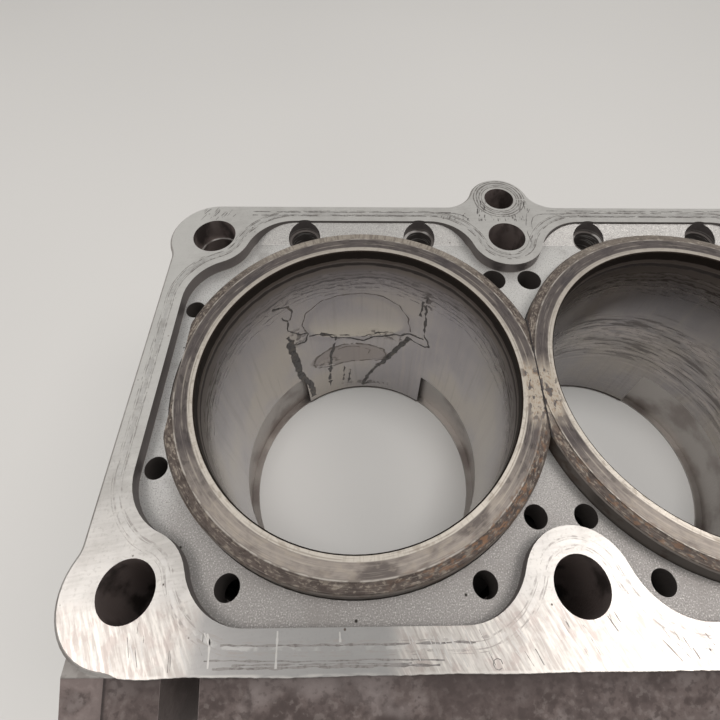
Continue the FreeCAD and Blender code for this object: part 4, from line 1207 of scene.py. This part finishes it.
def wall_path(stops):
    """Stops are pairs of degrees round the bore and millimetres below the deck."""
    return [(math.radians(angle) * BORE, DECK - DEPTH_SCALE * depth) for angle, depth in stops]


def on_bore(table):
    """All ribbons of a table. Its rows: width, step, wander, how uneven, seed, stops."""
    quads = []
    for width, step, wander, worn, seed, stops in table:
        quads += ribbon(wall_path(stops), width, step, wander, worn, seed)
    return quads


print("90 degrees round the bore are", round(math.radians(90) * BORE, 1), "mm of wall")

# %% [markdown]
# ## The cracks
# Two wide cracks run down to the foot of the wall, a short one stands between them, and thin
# ones join them across the middle. Under the short one, thin scores break up into dots. The
# cracks are filled level with old soot, so a flat dark line with an uneven edge loses nothing,
# and cutting them would open the wall's mesh.

# %% Wide cracks and thin ones
WIDE = (
    (3.2, 0.5, 0.6, 0.16, 1, ((128.5, 42), (129, 47), (127.5, 58), (127.5, 71), (126, 77))),
    (2.6, 0.5, 0.6, 0.16, 7, ((125.5, 76.5), (122.5, 86), (122, 99))),
    (2.3, 0.5, 0.7, 0.20, 2, ((65, 48.5), (70, 58), (77.5, 73.5), (82, 80))),
    (1.5, 0.4, 0.8, 0.30, 3, ((82, 80), (85, 85), (88, 92), (90.6, 99))),
    (2.2, 0.4, 0.3, 0.3, 4, ((87, 98.5), (91.5, 100.3))),
    (1.6, 0.4, 0.5, 0.35, 5, ((106.5, 61), (108, 66), (108.5, 71), (109, 75))),
    (1.6, 0.4, 0.5, 0.3, 6, ((129.5, 38), (128, 43))),
)
LEFT_FORK = ((133, 16), (130, 18), (126, 19.5), (124, 24), (126, 28))
LEFT_HOOK = ((130, 24), (127, 28), (128.5, 34), (125, 38), (119, 43), (121, 48), (127, 46))
RIGHT_HOOK = ((58.8, 16), (58.4, 25), (58, 33), (57.5, 42), (55, 45.5), (54, 48), (56, 50.5), (65, 49.5))
ACROSS = (
    (118, 45), (112, 47), (105, 53), (100, 54), (95, 56), (90, 58),
    (84, 54), (79, 53.5), (75, 51), (70, 49), (65, 45.5), (57.5, 45),
)
THIN = (
    (0.7, 0.35, 0.7, 0.6, 11, LEFT_FORK),
    (0.6, 0.35, 0.8, 0.6, 12, LEFT_HOOK),
    (0.9, 0.35, 0.6, 0.6, 13, RIGHT_HOOK),
    (0.6, 0.35, 0.4, 0.9, 14, ((60.5, 20), (61, 30))),
    (0.8, 0.35, 1.0, 0.6, 15, ACROSS),
    (0.5, 0.35, 1.0, 0.9, 16, ((112, 46), (105, 51), (97, 53), (90, 55), (83, 51), (76, 48.5))),
    (0.8, 0.35, 0.5, 0.8, 17, ((104.5, 52), (105.5, 57), (106.5, 62))),
    (0.9, 0.3, 0.5, 1.6, 18, ((109, 76), (110, 82), (110.5, 88), (111, 96))),
    (0.5, 0.3, 0.5, 1.8, 19, ((98, 84), (99, 90), (99.5, 97))),
    (0.35, 0.3, 0.5, 1.8, 20, ((101.5, 80), (102, 88), (103, 94))),
)
scorched = Finish("crack_residue", (0.145, 0.138, 0.135), 0.50, 0.5)
scorched.lay(scorched.grain(1.2, detail=4).rise(0.48, 0.64), (0.085, 0.078, 0.075), 0.6)
scorched.lay(scorched.grain(3, shift=5).rise(0.55, 0.68), (0.19, 0.165, 0.145), 0.5)
scorched.press(scorched.grain(0.7) * 0.05)
scorched_skin = scorched.finished()
marks("bore_1_cracks", on_bore(WIDE), on_wall(-PITCH / 2, 0.03), scorched_skin)
marks("bore_1_hairlines", on_bore(THIN), on_wall(-PITCH / 2, 0.05), scorched_skin)

# %% [markdown]
# ## Rings of dried water
# Water stood on the wall and dried from its edges inwards, which left thin brown outlines: a
# large arch above and an oval below. They lie closer to the wall than the cracks, which
# cross them.

# %% Water rings
ARCH = (
    (119, 43), (121, 36), (118, 29), (110, 24.5), (100, 23),
    (90, 23), (80, 24), (72, 28), (67, 35), (65, 44),
)
OVAL_TOP = ((119, 70), (116, 64), (108, 61), (98, 60), (88, 60.5), (79, 64), (77, 70))
OVAL_FOOT = ((119, 70), (116, 75), (108, 77), (98, 76), (88, 75.5), (79, 74), (77, 70))
WATER = (
    (0.45, 0.5, 0.5, 0.5, 21, ARCH),
    (0.8, 0.5, 0.8, 0.7, 22, OVAL_TOP),
    (0.7, 0.5, 0.8, 0.8, 23, OVAL_FOOT),
    (0.4, 0.5, 0.8, 0.8, 24, ((104, 63), (98, 62.5), (92, 63), (86, 66), (88, 70))),
)
dried = Finish("water_ring", (0.22, 0.195, 0.18), 0.45, 0.8)
dried.lay(dried.grain(2, detail=3).rise(0.45, 0.62), (0.14, 0.118, 0.105))
marks("bore_1_water_rings", on_bore(WATER), on_wall(-PITCH / 2, 0.02), dried.finished())

# %% [markdown]
# ## The size
# Everything above was painted on the block or laid a hair above it, so the dressed block has
# to be as large as the bare one.
